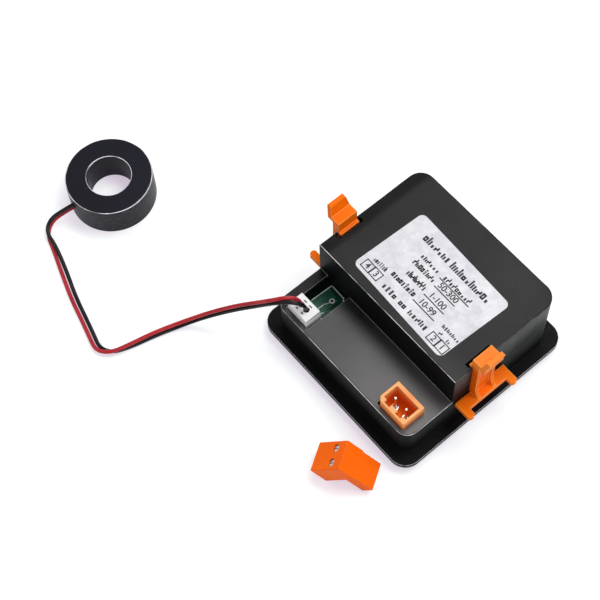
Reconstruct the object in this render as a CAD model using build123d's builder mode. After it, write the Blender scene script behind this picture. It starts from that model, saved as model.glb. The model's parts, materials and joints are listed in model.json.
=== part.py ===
"""Panel voltmeter and ammeter for a 72 mm square front, with its clips, plug and current transformer.

The meter lies face down. X runs along the label's lines, Y from the connector step to the raised
box, Z out of the back of the meter. The origin is the middle of the front face. All sizes are in mm.
"""

import os
from math import atan2, cos, radians, sin, tan

from build123d import *

os.makedirs("parts", exist_ok=True)

# Front bezel, window and the flange that seats on the panel
front_size = 72.0
front_corner_r = 6.0
bezel_t = 3.5
bezel_bevel = 3.0
flange_t = 1.5
view_w = 50.0
view_l = 44.0
view_corner_r = 1.5
window_ledge = 2.0
window_t = 1.5
window_fit = 0.15
rim_top = bezel_t + flange_t

# Housing behind the panel: a low step for the connectors and a raised box for the power parts
body_size = 64.0
body_wall = 1.6
body_skin = 2.0
step_h = 13.5
box_h = 29.5
step_l = 19.5
step_corner_r = 4.5
box_corner_r = 5.5
edge_r = 0.5
step_top = rim_top + step_h
box_top = rim_top + box_h
wall_x = body_size / 2
box_front_y = step_l - wall_x

# Rail on each side wall: a slot with lips, a wider groove behind them and a saw-tooth rack
clip_y = -1.0
slot_w = 8.5
lip_t = 0.8
lip_cover = 0.8
clip_play = 0.3
tooth_gap = 0.3
tooth_h = 0.5
tooth_pitch = 1.5
tooth_w = 4.6
rack_start = 3.5
rack_teeth = 16
rail_backing = 1.4
rail_shoulder = 1.6

# Mounting clip
clip_wing_t = 0.8
clip_wing_w = 9.4
clip_wing_l = 12.0
clip_shoulder_l = 19.4
clip_stem_w = 7.8
clip_stem_proud = 1.4
clip_foot_gap = 9.8
clip_foot_t = 2.0
clip_foot_w = 20.8
clip_foot_reach = 7.3
clip_bar_reach = 4.4
clip_leg_w = 2.5
clip_foot_clear = 0.3
clip_leg_r = 1.1
clip_rib_w = 1.2
clip_rib_proud = 0.8
clip_gusset_reach = 3.9
clip_gusset_h = 5.4
gusset_bow = 0.36
clip_head_z = 22.7
clip_head_t = 1.8
clip_head_back = 1.1
clip_head_reach = 4.6
clip_lip_t = 1.8
clip_lip_h = 4.4
clip_lip_lean = 1.1
clip_lip_w = 6.2
clip_tip_r = 0.5
pawl_recess_w = 5.2
pawl_recess_t = 0.7
pawl_w = 4.4
pawl_h = 1.6
pawl_z = 1.2

# Main board and its screws
board_t = 1.6
board_top = 12.0
board_fit = 0.4
board_corner_r = 3.5
post_r = 2.6
post_x = 11.0
post_from_front = 6.0
post_from_side = 8.0
post_from_back = 7.5
front_posts = [(side * post_x, post_from_front - wall_x) for side in (-1, 1)]
back_posts = [(side * (wall_x - post_from_side), wall_x - post_from_back) for side in (-1, 1)]
screw_shank_r = 1.1
screw_fit = 0.05
screw_hole_r = 1.35
screw_head_r = 2.2
screw_head_t = 1.3
screw_l = 7.0
board_bottom = board_top - board_t

# Displays on the front of the board
display_w = 37.6
display_l = 19.0
display_t = 8.0
display_y = 11.0

# Snap hooks that hold the bezel to the housing
hook_x = 15.0
hook_w = 5.0
hook_t = 1.2
hook_h = 5.6
hook_gap = 0.2
hook_nib = 0.6
hook_nib_h = 1.2
hook_nib_z = 4.0
hook_pocket_play = 0.2

# Power parts on the board
film_cap_size = (18.0, 8.5, 15.0)
film_cap_from_side = 19.0
film_cap_from_back = 18.0
film_cap_at = (film_cap_from_side - wall_x, wall_x - film_cap_from_back)
input_cap_r = 5.0
input_cap_h = 16.0
input_cap_from_back = 14.0
input_cap_at = (6.0, wall_x - input_cap_from_back)
output_cap_r = 4.0
output_cap_h = 12.0
output_cap_from_side = 15.0
output_cap_from_back = 19.0
output_cap_at = (wall_x - output_cap_from_side, wall_x - output_cap_from_back)
cap_crimp_z = 2.2
cap_crimp_depth = 0.5
bridge_size = (8.4, 6.4, 3.3)
bridge_from_side = 18.0
bridge_at = (bridge_from_side - wall_x, 2.0)
chip_size = (10.2, 7.5, 2.4)
chip_at = (1.0, 0.5)
varistor_r = 4.5
varistor_t = 3.6
varistor_from_side = 17.0
varistor_at = (wall_x - varistor_from_side, 1.0)
varistor_leg = 1.0
varistor_leg_gap = 5.0
resistor_r = 2.0
resistor_l = 9.0
resistor_leg = 1.5
resistor_from_side = 13.0
resistor_at = (wall_x - resistor_from_side, -7.0)
leg_r = 0.35

# Power header, 5.08 mm pitch, standing through the step
pitch = 5.08
header_from_side = 9.5
header_from_front = 6.2
header_at = (wall_x - header_from_side, header_from_front - wall_x)
header_w = 12.0
header_l = 8.8
header_proud = 4.0
header_side_wall = 0.9
header_front_wall = 1.8
header_back_wall = 1.4
header_floor = 2.0
header_fit = 0.15
header_chamfer = 1.2
header_round = 0.4
key_slot_w = 2.4
key_slot_t = 1.2
pin_r = 0.5
pin_fit = 0.1
pin_below_rim = 0.5
pin_collar_r = 1.2
pin_collar_h = 0.5
tail_l = 1.0
header_top = step_top + header_proud

# Transformer socket, seen through the window cut in the step
window_from_side = 9.2
window_from_front = 1.8
window_x = window_from_side - wall_x
window_w = 10.8
window_front_y = window_from_front - wall_x
socket_from_side = 8.8
socket_from_front = 5.1
socket_at = (socket_from_side - wall_x, socket_from_front - wall_x)
socket_w = 9.2
socket_l = 6.3
socket_h = 7.5
socket_wall = 0.75
socket_floor = 1.5
lead_pitch = 2.5
socket_pin_w = 0.64
socket_pin_h = 4.0
ct_plug_fit = 0.15
ct_plug_lift = 0.3
ct_plug_head_w = 9.0
ct_plug_head_l = 6.1
ct_plug_head_h = 1.8
ct_contact_w = 1.7
ct_contact_wall = 0.4
ct_contact_fit = 0.05
ct_contact_h = 4.0
wire_hole_r = 0.85
wire_hole_depth = 1.6
socket_top = board_top + socket_h
plug_base = board_top + socket_floor + ct_plug_lift
plug_shoulder = socket_top + ct_plug_lift
plug_top = plug_shoulder + ct_plug_head_h
wire_end = plug_top - wire_hole_depth

# Label on the raised box
label_w = 42.5
label_l = 29.0
label_t = 0.15
label_corner_r = 2.0
label_from_centre = -4.85
label_at = (2.0, (wall_x + box_front_y) / 2 + label_from_centre)
label_turn = -2.4

# Current transformer ring
ct_at = (-110.2, -42.45)
ct_r = 15.3
ct_bore_r = 7.8
ct_h = 12.4
ct_wall = 1.2
ct_edge_r = 0.5
ct_fill_t = 1.9
ct_fill_recess = 0.3
ct_core_r = 12.6
ct_core_bore_r = 10.2
ct_core_h = 5.6
ct_winding_t = 0.9
lead_exit = -100.0
lead_slot_w = 1.8
lead_slot_h = 3.4
lead_slot_z = 5.1

# Red and black leads from the transformer to its plug; the points are chosen by hand
wire_d = 1.4
red_route = [
    (-112.548, -55.77, 4.3),
    (-113.5, -61.1, 3.9),
    (-114.4, -66.4, 2.0),
    (-111.6, -70.3, 0.8),
    (-105.6, -72.1, 0.75),
    (-96.8, -75.2, 0.75),
    (-86.3, -78.7, 0.72),
    (-77.2, -80.9, 0.75),
    (-70.4, -82.7, 0.8),
    (-64.6, -84.2, 1.5),
    (-60.2, -81.0, 2.25),
    (-58.2, -74.7, 2.3),
    (-56.2, -65.6, 2.3),
    (-54.4, -58.6, 2.5),
    (-51.6, -52.6, 4.6),
    (-47.5, -46.8, 9.2),
    (-41.3, -41.0, 15.9),
    (-34.8, -36.6, 21.6),
    (socket_at[0] - 7.6, socket_at[1] - 7.0, 26.1),
    (socket_at[0] - 3.6, socket_at[1] - 3.3, 27.8),
    (socket_at[0] - lead_pitch / 2, socket_at[1], 24.6),
    (socket_at[0] - lead_pitch / 2, socket_at[1], 20.0),
]
black_route = [
    (-112.548, -55.77, 5.9),
    (-113.5, -61.1, 5.5),
    (-114.6, -66.4, 3.8),
    (-112.0, -70.2, 2.5),
    (-105.8, -70.8, 2.0),
    (-96.2, -73.5, 0.9),
    (-85.8, -77.1, 0.72),
    (-76.8, -79.3, 0.75),
    (-70.2, -81.0, 0.72),
    (-64.9, -82.5, 0.7),
    (-60.8, -80.0, 0.72),
    (-58.4, -74.0, 0.7),
    (-56.3, -65.4, 0.72),
    (-54.2, -58.2, 0.8),
    (-51.4, -52.4, 2.9),
    (-47.0, -46.8, 7.3),
    (-40.6, -41.8, 13.9),
    (-34.0, -37.4, 20.2),
    (socket_at[0] - 6.2, socket_at[1] - 7.4, 25.1),
    (socket_at[0] - 1.4, socket_at[1] - 3.6, 28.0),
    (socket_at[0] + lead_pitch / 2, socket_at[1], 24.6),
    (socket_at[0] + lead_pitch / 2, socket_at[1], 20.0),
]

# Angled terminal plug, lying on the end of its tongue and the end of its wire arm
plug_w = 10.16
arm_l = 13.4
arm_t = 7.6
tongue_w = 9.3
tongue_t = 4.6
tongue_l = 8.4
plug_edge_r = 0.35
plug_apex = (21.5, -48.8)
plug_heading = 211.8
rib_w = 2.0
rib_h = 1.1
rib_short = 2.2
well_r = 1.4
well_t = 1.3
well_u = 4.6
web_t = 0.4
terminal_head_r = 1.2
terminal_head_t = 0.8
terminal_slot_w = 0.4
terminal_slot_t = 0.4
terminal_thread_r = 0.9
terminal_fit = 0.05
cage_u = 4.0
cage_w = 3.4
cage_cap_t = 0.6
cage_window_w = 2.6
cage_window_t = 1.9
cage_foot_t = 0.5
cage_travel = 0.8
cage_play = 0.3
bar_t = 0.5
bar_w = 2.0
bar_past_screw = 1.9
bar_end_u = well_u + bar_past_screw
strip_u = 1.1
contact_w = 2.4
contact_wall = 0.4
contact_l = 6.0
contact_fit = 0.1
contact_end = 1.0
pin_entry_w = 1.7
entry_w = 2.9
entry_t = 2.5
mark_l = 1.2
mark_w = 0.4
mark_t = 0.2
mark_v = 1.1
marks = (-1.7, 3.2)


def body_plan(height, inset=0.0, front=None):
    """Plan of the housing body, cut off in front of the given line."""
    with BuildSketch(Plane.XY.offset(height)) as plan:
        Rectangle(body_size - 2 * inset, body_size - 2 * inset)
        fillet(plan.vertices().group_by(Axis.Y)[0], step_corner_r - inset)
        fillet(plan.vertices().group_by(Axis.Y)[-1], box_corner_r - inset)
        if front is not None:
            with Locations((0, front)):
                Rectangle(
                    body_size,
                    body_size,
                    align=(Align.CENTER, Align.MAX),
                    mode=Mode.SUBTRACT,
                )
    return plan.sketch


# Sizes that follow from the fits above
wing_front = wall_x - lip_t - clip_play
wing_back = wing_front - clip_wing_t
groove_floor = wing_back - tooth_gap - tooth_h
groove_w = slot_w + 2 * lip_cover
rail_inner = groove_floor - rail_backing
rail_half = groove_w / 2 + rail_shoulder
all_posts = front_posts + back_posts
power_pins = [(header_at[0] + side * pitch / 2, header_at[1]) for side in (-1, 1)]
lead_pins = [(socket_at[0] + side * lead_pitch / 2, socket_at[1]) for side in (-1, 1)]


def hollow_plan(height, front=None):
    """Plan of the space inside the walls, less the thick wall behind each rail."""
    with BuildSketch(Plane.XY.offset(height)) as plan:
        add(body_plan(0.0, body_wall, front))
        for side in (1, -1):
            with Locations((side * (rail_inner + body_size / 4), clip_y)):
                Rectangle(body_size / 2, 2 * rail_half, mode=Mode.SUBTRACT)
    return plan.sketch


# Rear housing
with BuildPart() as rear_housing:
    with BuildSketch(Plane.XY.offset(bezel_t)):
        RectangleRounded(front_size, front_size, front_corner_r)
    extrude(amount=flange_t)
    extrude(body_plan(rim_top), amount=step_h)
    extrude(body_plan(step_top, 0.0, box_front_y), amount=box_h - step_h)
    step_rim = rear_housing.edges().filter_by_position(
        Axis.Z, step_top - 0.01, step_top + 0.01
    )
    fillet(step_rim.filter_by(lambda e: e.center().Y < box_front_y - 0.1), edge_r)
    fillet(rear_housing.faces().sort_by(Axis.Z)[-1].edges(), edge_r)
    extrude(
        hollow_plan(bezel_t), amount=step_top - body_skin - bezel_t, mode=Mode.SUBTRACT
    )
    extrude(
        hollow_plan(step_top - body_skin, box_front_y + body_wall),
        amount=box_h - step_h,
        mode=Mode.SUBTRACT,
    )
    # posts for the board screws, hanging from the step and from the box's roof
    for places, roof in ((front_posts, step_top), (back_posts, box_top)):
        with BuildSketch(Plane.XY.offset(board_top)):
            with Locations(*places):
                Circle(post_r)
        extrude(amount=roof - body_skin / 2 - board_top)
    with BuildSketch(Plane.XY.offset(board_top)):
        with Locations(*all_posts):
            Circle(screw_shank_r + screw_fit)
    extrude(amount=screw_l - board_t + screw_fit, mode=Mode.SUBTRACT)
    # a rail in each side wall
    for side in (1, -1):
        with BuildSketch(Plane.XY.offset(rim_top)):
            with Locations((side * wall_x, clip_y)):
                Rectangle(2 * lip_t + 0.2, slot_w)
            with Locations((side * (wall_x - lip_t + groove_floor) / 2, clip_y)):
                Rectangle(wall_x - lip_t - groove_floor, groove_w)
        extrude(amount=box_h, mode=Mode.SUBTRACT)
        with BuildSketch(Plane.XZ.offset(-clip_y)):
            with BuildLine():
                root_x = side * (groove_floor - tooth_h)
                rack = [(root_x, rim_top + rack_start)]
                for tooth in range(rack_teeth):
                    foot = rim_top + rack_start + tooth * tooth_pitch
                    rack.append((side * (groove_floor + tooth_h), foot))
                    rack.append((side * groove_floor, foot + tooth_pitch))
                rack.append((root_x, rack[-1][1]))
                Polyline(*rack, close=True)
            make_face()
        extrude(amount=tooth_w / 2, both=True)
    # the window over the transformer socket and the hole for the power header
    with BuildSketch(Plane.XY.offset(step_top)):
        with Locations((window_x, (window_front_y + box_front_y) / 2)):
            Rectangle(window_w, box_front_y - window_front_y)
        with Locations(header_at):
            Rectangle(header_w + 2 * header_fit, header_l + 2 * header_fit)
    extrude(amount=-body_skin, mode=Mode.SUBTRACT)
    # pockets for the bezel's hooks
    pocket_w = hook_w + 2 * hook_pocket_play
    pocket_h = hook_nib_h + 2 * hook_pocket_play
    pocket_t = hook_nib - hook_gap + hook_pocket_play
    with BuildSketch(Plane.XY.offset(bezel_t + hook_nib_z - hook_pocket_play)):
        for side in (1, -1):
            inner_y = side * (body_size / 2 - body_wall + pocket_t / 2)
            with Locations((hook_x, inner_y), (-hook_x, inner_y)):
                Rectangle(pocket_w, pocket_t)
    extrude(amount=pocket_h, mode=Mode.SUBTRACT)
rear_housing.part.label = "rear_housing"
export_step(rear_housing.part, "parts/rear_housing.step")

# Front bezel
with BuildPart() as front_bezel:
    with BuildSketch():
        RectangleRounded(front_size, front_size, front_corner_r)
    extrude(amount=bezel_t)
    front_rim = front_bezel.faces().sort_by(Axis.Z)[0].outer_wire()
    chamfer(front_rim.edges(), length=bezel_bevel)
    with BuildSketch():
        RectangleRounded(view_w, view_l, view_corner_r)
    extrude(amount=bezel_t, mode=Mode.SUBTRACT)
    with BuildSketch():
        RectangleRounded(
            view_w + 2 * window_ledge, view_l + 2 * window_ledge, view_corner_r
        )
    extrude(amount=window_t, mode=Mode.SUBTRACT)
    hook_outer = body_size / 2 - body_wall - hook_gap
    for side in (1, -1):
        with BuildSketch(Plane.XY.offset(bezel_t)):
            hook_mid = side * (hook_outer - hook_t / 2)
            with Locations((hook_x, hook_mid), (-hook_x, hook_mid)):
                Rectangle(hook_w, hook_t)
        extrude(amount=hook_h)
        with BuildSketch(Plane.XY.offset(bezel_t + hook_nib_z)):
            nib_mid = side * (hook_outer + hook_nib / 2)
            with Locations((hook_x, nib_mid), (-hook_x, nib_mid)):
                Rectangle(hook_w, hook_nib)
        extrude(amount=hook_nib_h)
front_bezel.part.label = "front_bezel"
export_step(front_bezel.part, "parts/front_bezel.step")

# Display window, flush with the front
with BuildPart() as display_window:
    with BuildSketch():
        RectangleRounded(
            view_w + 2 * (window_ledge - window_fit),
            view_l + 2 * (window_ledge - window_fit),
            view_corner_r - window_fit,
        )
    extrude(amount=window_t)
display_window.part.label = "display_window"
export_step(display_window.part, "parts/display_window.step")

# Main board
with BuildPart() as main_board:
    with BuildSketch(Plane.XY.offset(board_bottom)):
        board_side = body_size - 2 * (body_wall + board_fit)
        RectangleRounded(board_side, board_side, board_corner_r)
        for side in (1, -1):
            with Locations((side * (rail_inner - board_fit + board_side / 2), clip_y)):
                Rectangle(board_side, 2 * (rail_half + board_fit), mode=Mode.SUBTRACT)
        with Locations(*all_posts):
            Circle(screw_hole_r, mode=Mode.SUBTRACT)
        with Locations(*power_pins):
            Circle(pin_r + pin_fit, mode=Mode.SUBTRACT)
        with Locations(*lead_pins):
            Circle(socket_pin_w / 2 + 2 * pin_fit, mode=Mode.SUBTRACT)
    extrude(amount=board_t)
main_board.part.label = "main_board"
export_step(main_board.part, "parts/main_board.step")

# Board screws
with BuildPart() as board_screws:
    with BuildSketch(Plane.XY.offset(board_bottom - screw_head_t)):
        with Locations(*all_posts):
            Circle(screw_head_r)
    extrude(amount=screw_head_t)
    with BuildSketch(Plane.XY.offset(board_bottom)):
        with Locations(*all_posts):
            Circle(screw_shank_r)
    extrude(amount=screw_l)
board_screws.part.label = "board_screws"
export_step(board_screws.part, "parts/board_screws.step")


def make_block(low, size, place, rounding):
    """A moulded block part with rounded upright edges."""
    with BuildPart() as block:
        with BuildSketch(Plane.XY.offset(low)):
            with Locations(place):
                Rectangle(size[0], size[1])
        extrude(amount=size[2])
        fillet(block.edges().filter_by(Axis.Z), rounding)
    return block.part


# Displays
display_size = (display_w, display_l, display_t)
voltage_display = make_block(board_bottom - display_t, display_size, (0, display_y), edge_r)
voltage_display.label = "voltage_display"
export_step(voltage_display, "parts/voltage_display.step")
current_display = make_block(board_bottom - display_t, display_size, (0, -display_y), edge_r)
current_display.label = "current_display"
export_step(current_display, "parts/current_display.step")

# Block parts on the board
film_capacitor = make_block(board_top, film_cap_size, film_cap_at, 1.0)
film_capacitor.label = "film_capacitor"
export_step(film_capacitor, "parts/film_capacitor.step")
bridge_rectifier = make_block(board_top, bridge_size, bridge_at, edge_r)
bridge_rectifier.label = "bridge_rectifier"
export_step(bridge_rectifier, "parts/bridge_rectifier.step")
measuring_chip = make_block(board_top, chip_size, chip_at, edge_r)
measuring_chip.label = "measuring_chip"
export_step(measuring_chip, "parts/measuring_chip.step")


def make_can(radius, height, place):
    """A can capacitor with its crimped neck, turned about an upright axis."""
    crimp = board_top + cap_crimp_z
    with BuildPart() as can:
        with BuildSketch(Plane.XZ.offset(-place[1])):
            with BuildLine():
                Polyline(
                    (place[0], board_top),
                    (place[0] + radius, board_top),
                    (place[0] + radius, crimp - cap_crimp_depth),
                    (place[0] + radius - cap_crimp_depth, crimp),
                    (place[0] + radius, crimp + cap_crimp_depth),
                    (place[0] + radius, board_top + height),
                    (place[0], board_top + height),
                    close=True,
                )
            make_face()
        revolve(axis=Axis((place[0], place[1], 0), (0, 0, 1)))
    return can.part


# Can capacitors
input_capacitor = make_can(input_cap_r, input_cap_h, input_cap_at)
input_capacitor.label = "input_capacitor"
export_step(input_capacitor, "parts/input_capacitor.step")
output_capacitor = make_can(output_cap_r, output_cap_h, output_cap_at)
output_capacitor.label = "output_capacitor"
export_step(output_capacitor, "parts/output_capacitor.step")

# Varistor, a disc on two legs
with BuildPart() as varistor:
    with BuildSketch(Plane.XZ.offset(-varistor_at[1])):
        with Locations((varistor_at[0], board_top + varistor_leg + varistor_r)):
            Circle(varistor_r)
    extrude(amount=varistor_t / 2, both=True)
    fillet(varistor.edges().filter_by(GeomType.CIRCLE), varistor_t / 4)
    with BuildSketch(Plane.XY.offset(board_top)):
        for side in (-1, 1):
            with Locations((varistor_at[0] + side * varistor_leg_gap / 2, varistor_at[1])):
                Circle(leg_r)
    extrude(amount=varistor_leg + varistor_r)
varistor.part.label = "varistor"
export_step(varistor.part, "parts/varistor.step")

# Fusible resistor, lying on the board with a leg at each end
with BuildPart() as fusible_resistor:
    with BuildSketch(Plane.YZ.offset(resistor_at[0])):
        with Locations((resistor_at[1], board_top + resistor_r)):
            Circle(resistor_r)
    extrude(amount=resistor_l / 2, both=True)
    fillet(fusible_resistor.edges().filter_by(GeomType.CIRCLE), resistor_r / 2)
    with BuildSketch(Plane.YZ.offset(resistor_at[0])):
        with Locations((resistor_at[1], board_top + resistor_r)):
            Circle(leg_r)
    extrude(amount=resistor_l / 2 + resistor_leg, both=True)
    with BuildSketch(Plane.XY.offset(board_top)):
        for side in (-1, 1):
            leg_x = resistor_at[0] + side * (resistor_l / 2 + resistor_leg - leg_r)
            with Locations((leg_x, resistor_at[1])):
                Circle(leg_r)
    extrude(amount=resistor_r)
fusible_resistor.part.label = "fusible_resistor"
export_step(fusible_resistor.part, "parts/fusible_resistor.step")

# Power header, a shroud with two key slots in its front wall
cavity_front_y = header_at[1] - header_l / 2 + header_front_wall
cavity_l = header_l - header_front_wall - header_back_wall
with BuildPart() as power_header:
    with BuildSketch(Plane.XY.offset(board_top)) as shroud:
        with Locations(header_at):
            Rectangle(header_w, header_l)
        chamfer(shroud.vertices().sort_by(Axis((0, 0, 0), (1, 1, 0)))[0], header_chamfer)
        fillet(shroud.vertices().sort_by(Axis((0, 0, 0), (1, -1, 0)))[-1], header_round)
        with Locations(*power_pins):
            Circle(pin_r, mode=Mode.SUBTRACT)
    extrude(amount=header_top - board_top)
    with BuildSketch(Plane.XY.offset(header_top)):
        with Locations((header_at[0], cavity_front_y + cavity_l / 2)):
            Rectangle(header_w - 2 * header_side_wall, cavity_l)
        for pin in power_pins:
            with Locations((pin[0], cavity_front_y - key_slot_t / 2)):
                Rectangle(key_slot_w, key_slot_t)
    extrude(amount=-(header_top - board_top - header_floor), mode=Mode.SUBTRACT)
power_header.part.label = "power_header"
export_step(power_header.part, "parts/power_header.step")

# Power header pins with the collars at the foot of the shroud
with BuildPart() as power_header_pins:
    with BuildSketch(Plane.XY.offset(board_bottom - tail_l)):
        with Locations(*power_pins):
            Circle(pin_r)
    extrude(amount=header_top - pin_below_rim - board_bottom + tail_l)
    chamfer(power_header_pins.faces().group_by(Axis.Z)[-1].edges(), pin_r / 2)
    with BuildSketch(Plane.XY.offset(board_top + header_floor)):
        with Locations(*power_pins):
            Circle(pin_collar_r)
    extrude(amount=pin_collar_h)
power_header_pins.part.label = "power_header_pins"
export_step(power_header_pins.part, "parts/power_header_pins.step")

# Transformer socket
with BuildPart() as ct_socket:
    with BuildSketch(Plane.XY.offset(board_top)):
        with Locations(socket_at):
            Rectangle(socket_w, socket_l)
        with Locations(*lead_pins):
            Rectangle(socket_pin_w, socket_pin_w, mode=Mode.SUBTRACT)
    extrude(amount=socket_h)
    with BuildSketch(Plane.XY.offset(socket_top)):
        with Locations(socket_at):
            Rectangle(socket_w - 2 * socket_wall, socket_l - 2 * socket_wall)
    extrude(amount=-(socket_h - socket_floor), mode=Mode.SUBTRACT)
ct_socket.part.label = "ct_socket"
export_step(ct_socket.part, "parts/ct_socket.step")

# Transformer socket pins
with BuildPart() as ct_socket_pins:
    with BuildSketch(Plane.XY.offset(board_bottom - tail_l)):
        with Locations(*lead_pins):
            Rectangle(socket_pin_w, socket_pin_w)
    extrude(amount=tail_l + board_t + socket_floor + socket_pin_h)
ct_socket_pins.part.label = "ct_socket_pins"
export_step(ct_socket_pins.part, "parts/ct_socket_pins.step")

# Transformer plug, pushed home in the socket
contact_top = plug_base + ct_contact_h
with BuildPart() as ct_plug:
    with BuildSketch(Plane.XY.offset(plug_base)):
        with Locations(socket_at):
            Rectangle(
                socket_w - 2 * (socket_wall + ct_plug_fit),
                socket_l - 2 * (socket_wall + ct_plug_fit),
            )
    extrude(amount=plug_shoulder - plug_base)
    with BuildSketch(Plane.XY.offset(plug_shoulder)):
        with Locations(socket_at):
            Rectangle(ct_plug_head_w, ct_plug_head_l)
    extrude(amount=ct_plug_head_h)
    fillet(ct_plug.faces().sort_by(Axis.Z)[-1].edges(), edge_r / 2)
    with BuildSketch(Plane.XY.offset(plug_base)):
        with Locations(*lead_pins):
            Rectangle(ct_contact_w + 2 * ct_contact_fit, ct_contact_w + 2 * ct_contact_fit)
    extrude(amount=ct_contact_h, mode=Mode.SUBTRACT)
    with BuildSketch(Plane.XY.offset(contact_top)):
        with Locations(*lead_pins):
            Circle(wire_d / 2 + ct_contact_fit)
    extrude(amount=wire_end - contact_top, mode=Mode.SUBTRACT)
    with BuildSketch(Plane.XY.offset(wire_end)):
        with Locations(*lead_pins):
            Circle(wire_hole_r)
    extrude(amount=wire_hole_depth, mode=Mode.SUBTRACT)
ct_plug.part.label = "ct_plug"
export_step(ct_plug.part, "parts/ct_plug.step")

# Crimp contacts in the transformer plug
with BuildPart() as ct_plug_contacts:
    with BuildSketch(Plane.XY.offset(plug_base)):
        with Locations(*lead_pins):
            Rectangle(ct_contact_w, ct_contact_w)
            bore_w = ct_contact_w - 2 * ct_contact_wall
            Rectangle(bore_w, bore_w, mode=Mode.SUBTRACT)
    extrude(amount=ct_contact_h)
    with BuildSketch(Plane.XY.offset(contact_top)):
        with Locations(*lead_pins):
            Circle(wire_d / 2)
    extrude(amount=wire_end - contact_top)
ct_plug_contacts.part.label = "ct_plug_contacts"
export_step(ct_plug_contacts.part, "parts/ct_plug_contacts.step")

# Label
with BuildPart() as rear_label:
    with BuildSketch(Plane.XY.offset(box_top)):
        with Locations(label_at):
            RectangleRounded(label_w, label_l, label_corner_r, rotation=label_turn)
    extrude(amount=label_t)
rear_label.part.label = "rear_label"
export_step(rear_label.part, "parts/rear_label.step")


def make_clip(side):
    """A clip that slides along its rail and presses the panel on the flange; side 1 is +X."""
    foot = rim_top + clip_foot_gap
    foot_top = foot + clip_foot_t
    head = foot + clip_head_z
    stem_front = wall_x + clip_stem_proud
    head_back = wing_back + clip_head_back
    head_front = wall_x + clip_head_reach
    gusset_x = wall_x + clip_gusset_reach
    rib_x = stem_front + clip_rib_proud
    pawl_root = wing_back + pawl_recess_t
    with BuildPart() as clip:
        # stem, with a wing on each side that runs behind the lips of the slot
        with BuildSketch(Plane.XY.offset(foot)):
            with Locations((side * (wing_back + stem_front) / 2, clip_y)):
                Rectangle(stem_front - wing_back, clip_stem_w)
            with Locations((side * (wing_back + wing_front) / 2, clip_y)):
                Rectangle(clip_wing_t, clip_wing_w)
        extrude(amount=clip_wing_l)
        with BuildSketch(Plane.XY.offset(foot)):
            with Locations((side * (wing_back + stem_front) / 2, clip_y)):
                Rectangle(stem_front - wing_back, clip_stem_w)
        extrude(amount=clip_shoulder_l)
        with BuildSketch(Plane.XY.offset(foot)):
            with Locations((side * (head_back + stem_front) / 2, clip_y)):
                Rectangle(stem_front - head_back, clip_stem_w)
        extrude(amount=clip_head_z)
        # forked foot
        with BuildSketch(Plane.XY.offset(foot)) as fork:
            foot_mid = wall_x + (clip_foot_clear + clip_foot_reach) / 2
            with Locations((side * foot_mid, clip_y)):
                Rectangle(clip_foot_reach - clip_foot_clear, clip_foot_w)
            gap_mid = wall_x + clip_bar_reach + clip_foot_reach / 2
            with Locations((side * gap_mid, clip_y)):
                Rectangle(
                    clip_foot_reach, clip_foot_w - 2 * clip_leg_w, mode=Mode.SUBTRACT
                )
            leg_corners = fork.vertices().group_by(Axis.X)[-1 if side > 0 else 0]
            fillet(leg_corners, clip_leg_r)
        extrude(amount=clip_foot_t)
        # two ribs that sweep out into gussets on the foot
        for edge in (-1, 1):
            rib_y = clip_y + edge * (clip_stem_w - clip_rib_w) / 2
            with BuildSketch(Plane.XZ.offset(-rib_y)):
                with BuildLine():
                    ThreePointArc(
                        (side * gusset_x, foot_top),
                        (
                            side * (rib_x + (gusset_x - rib_x) * gusset_bow),
                            foot_top + clip_gusset_h * gusset_bow,
                        ),
                        (side * rib_x, foot_top + clip_gusset_h),
                    )
                    Polyline(
                        (side * rib_x, foot_top + clip_gusset_h),
                        (side * rib_x, head + clip_head_t / 2),
                        (side * head_back, head + clip_head_t / 2),
                        (side * head_back, foot_top - clip_foot_t / 2),
                        (side * gusset_x, foot_top - clip_foot_t / 2),
                        (side * gusset_x, foot_top),
                    )
                make_face()
            extrude(amount=clip_rib_w / 2, both=True)
        # finger ledge with its leaning lip
        with BuildSketch(Plane.XY.offset(head)):
            with Locations((side * (head_back + head_front) / 2, clip_y)):
                Rectangle(head_front - head_back, clip_stem_w)
        extrude(amount=clip_head_t)
        with BuildSketch(Plane.XY.offset(head + clip_head_t)):
            with Locations((side * (head_front - clip_lip_t / 2), clip_y)):
                Rectangle(clip_lip_t, clip_stem_w)
        with BuildSketch(Plane.XY.offset(head + clip_head_t + clip_lip_h)):
            lip_mid = head_front + clip_lip_lean - clip_lip_t / 2
            with Locations((side * lip_mid, clip_y)):
                Rectangle(clip_lip_t, clip_lip_w)
        loft()
        fillet(clip.faces().sort_by(Axis.Z)[-1].edges(), clip_tip_r)
        # recess down the back with the pawl that catches the rack
        with BuildSketch(Plane.XY.offset(foot)):
            with Locations((side * (wing_back + pawl_recess_t / 2), clip_y)):
                Rectangle(pawl_recess_t, pawl_recess_w)
        extrude(amount=clip_wing_l, mode=Mode.SUBTRACT)
        with BuildSketch(Plane.XZ.offset(-clip_y)):
            with BuildLine():
                Polyline(
                    (side * (pawl_root + pawl_recess_t), foot + pawl_z),
                    (side * pawl_root, foot + pawl_z),
                    (side * wing_back, foot + pawl_z + pawl_h),
                    (side * (pawl_root + pawl_recess_t), foot + pawl_z + pawl_h),
                    close=True,
                )
            make_face()
        extrude(amount=pawl_w / 2, both=True)
    return clip.part


# Clips
clip_right = make_clip(1)
clip_right.label = "clip_right"
export_step(clip_right, "parts/clip_right.step")
clip_left = make_clip(-1)
clip_left.label = "clip_left"
export_step(clip_left, "parts/clip_left.step")

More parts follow.
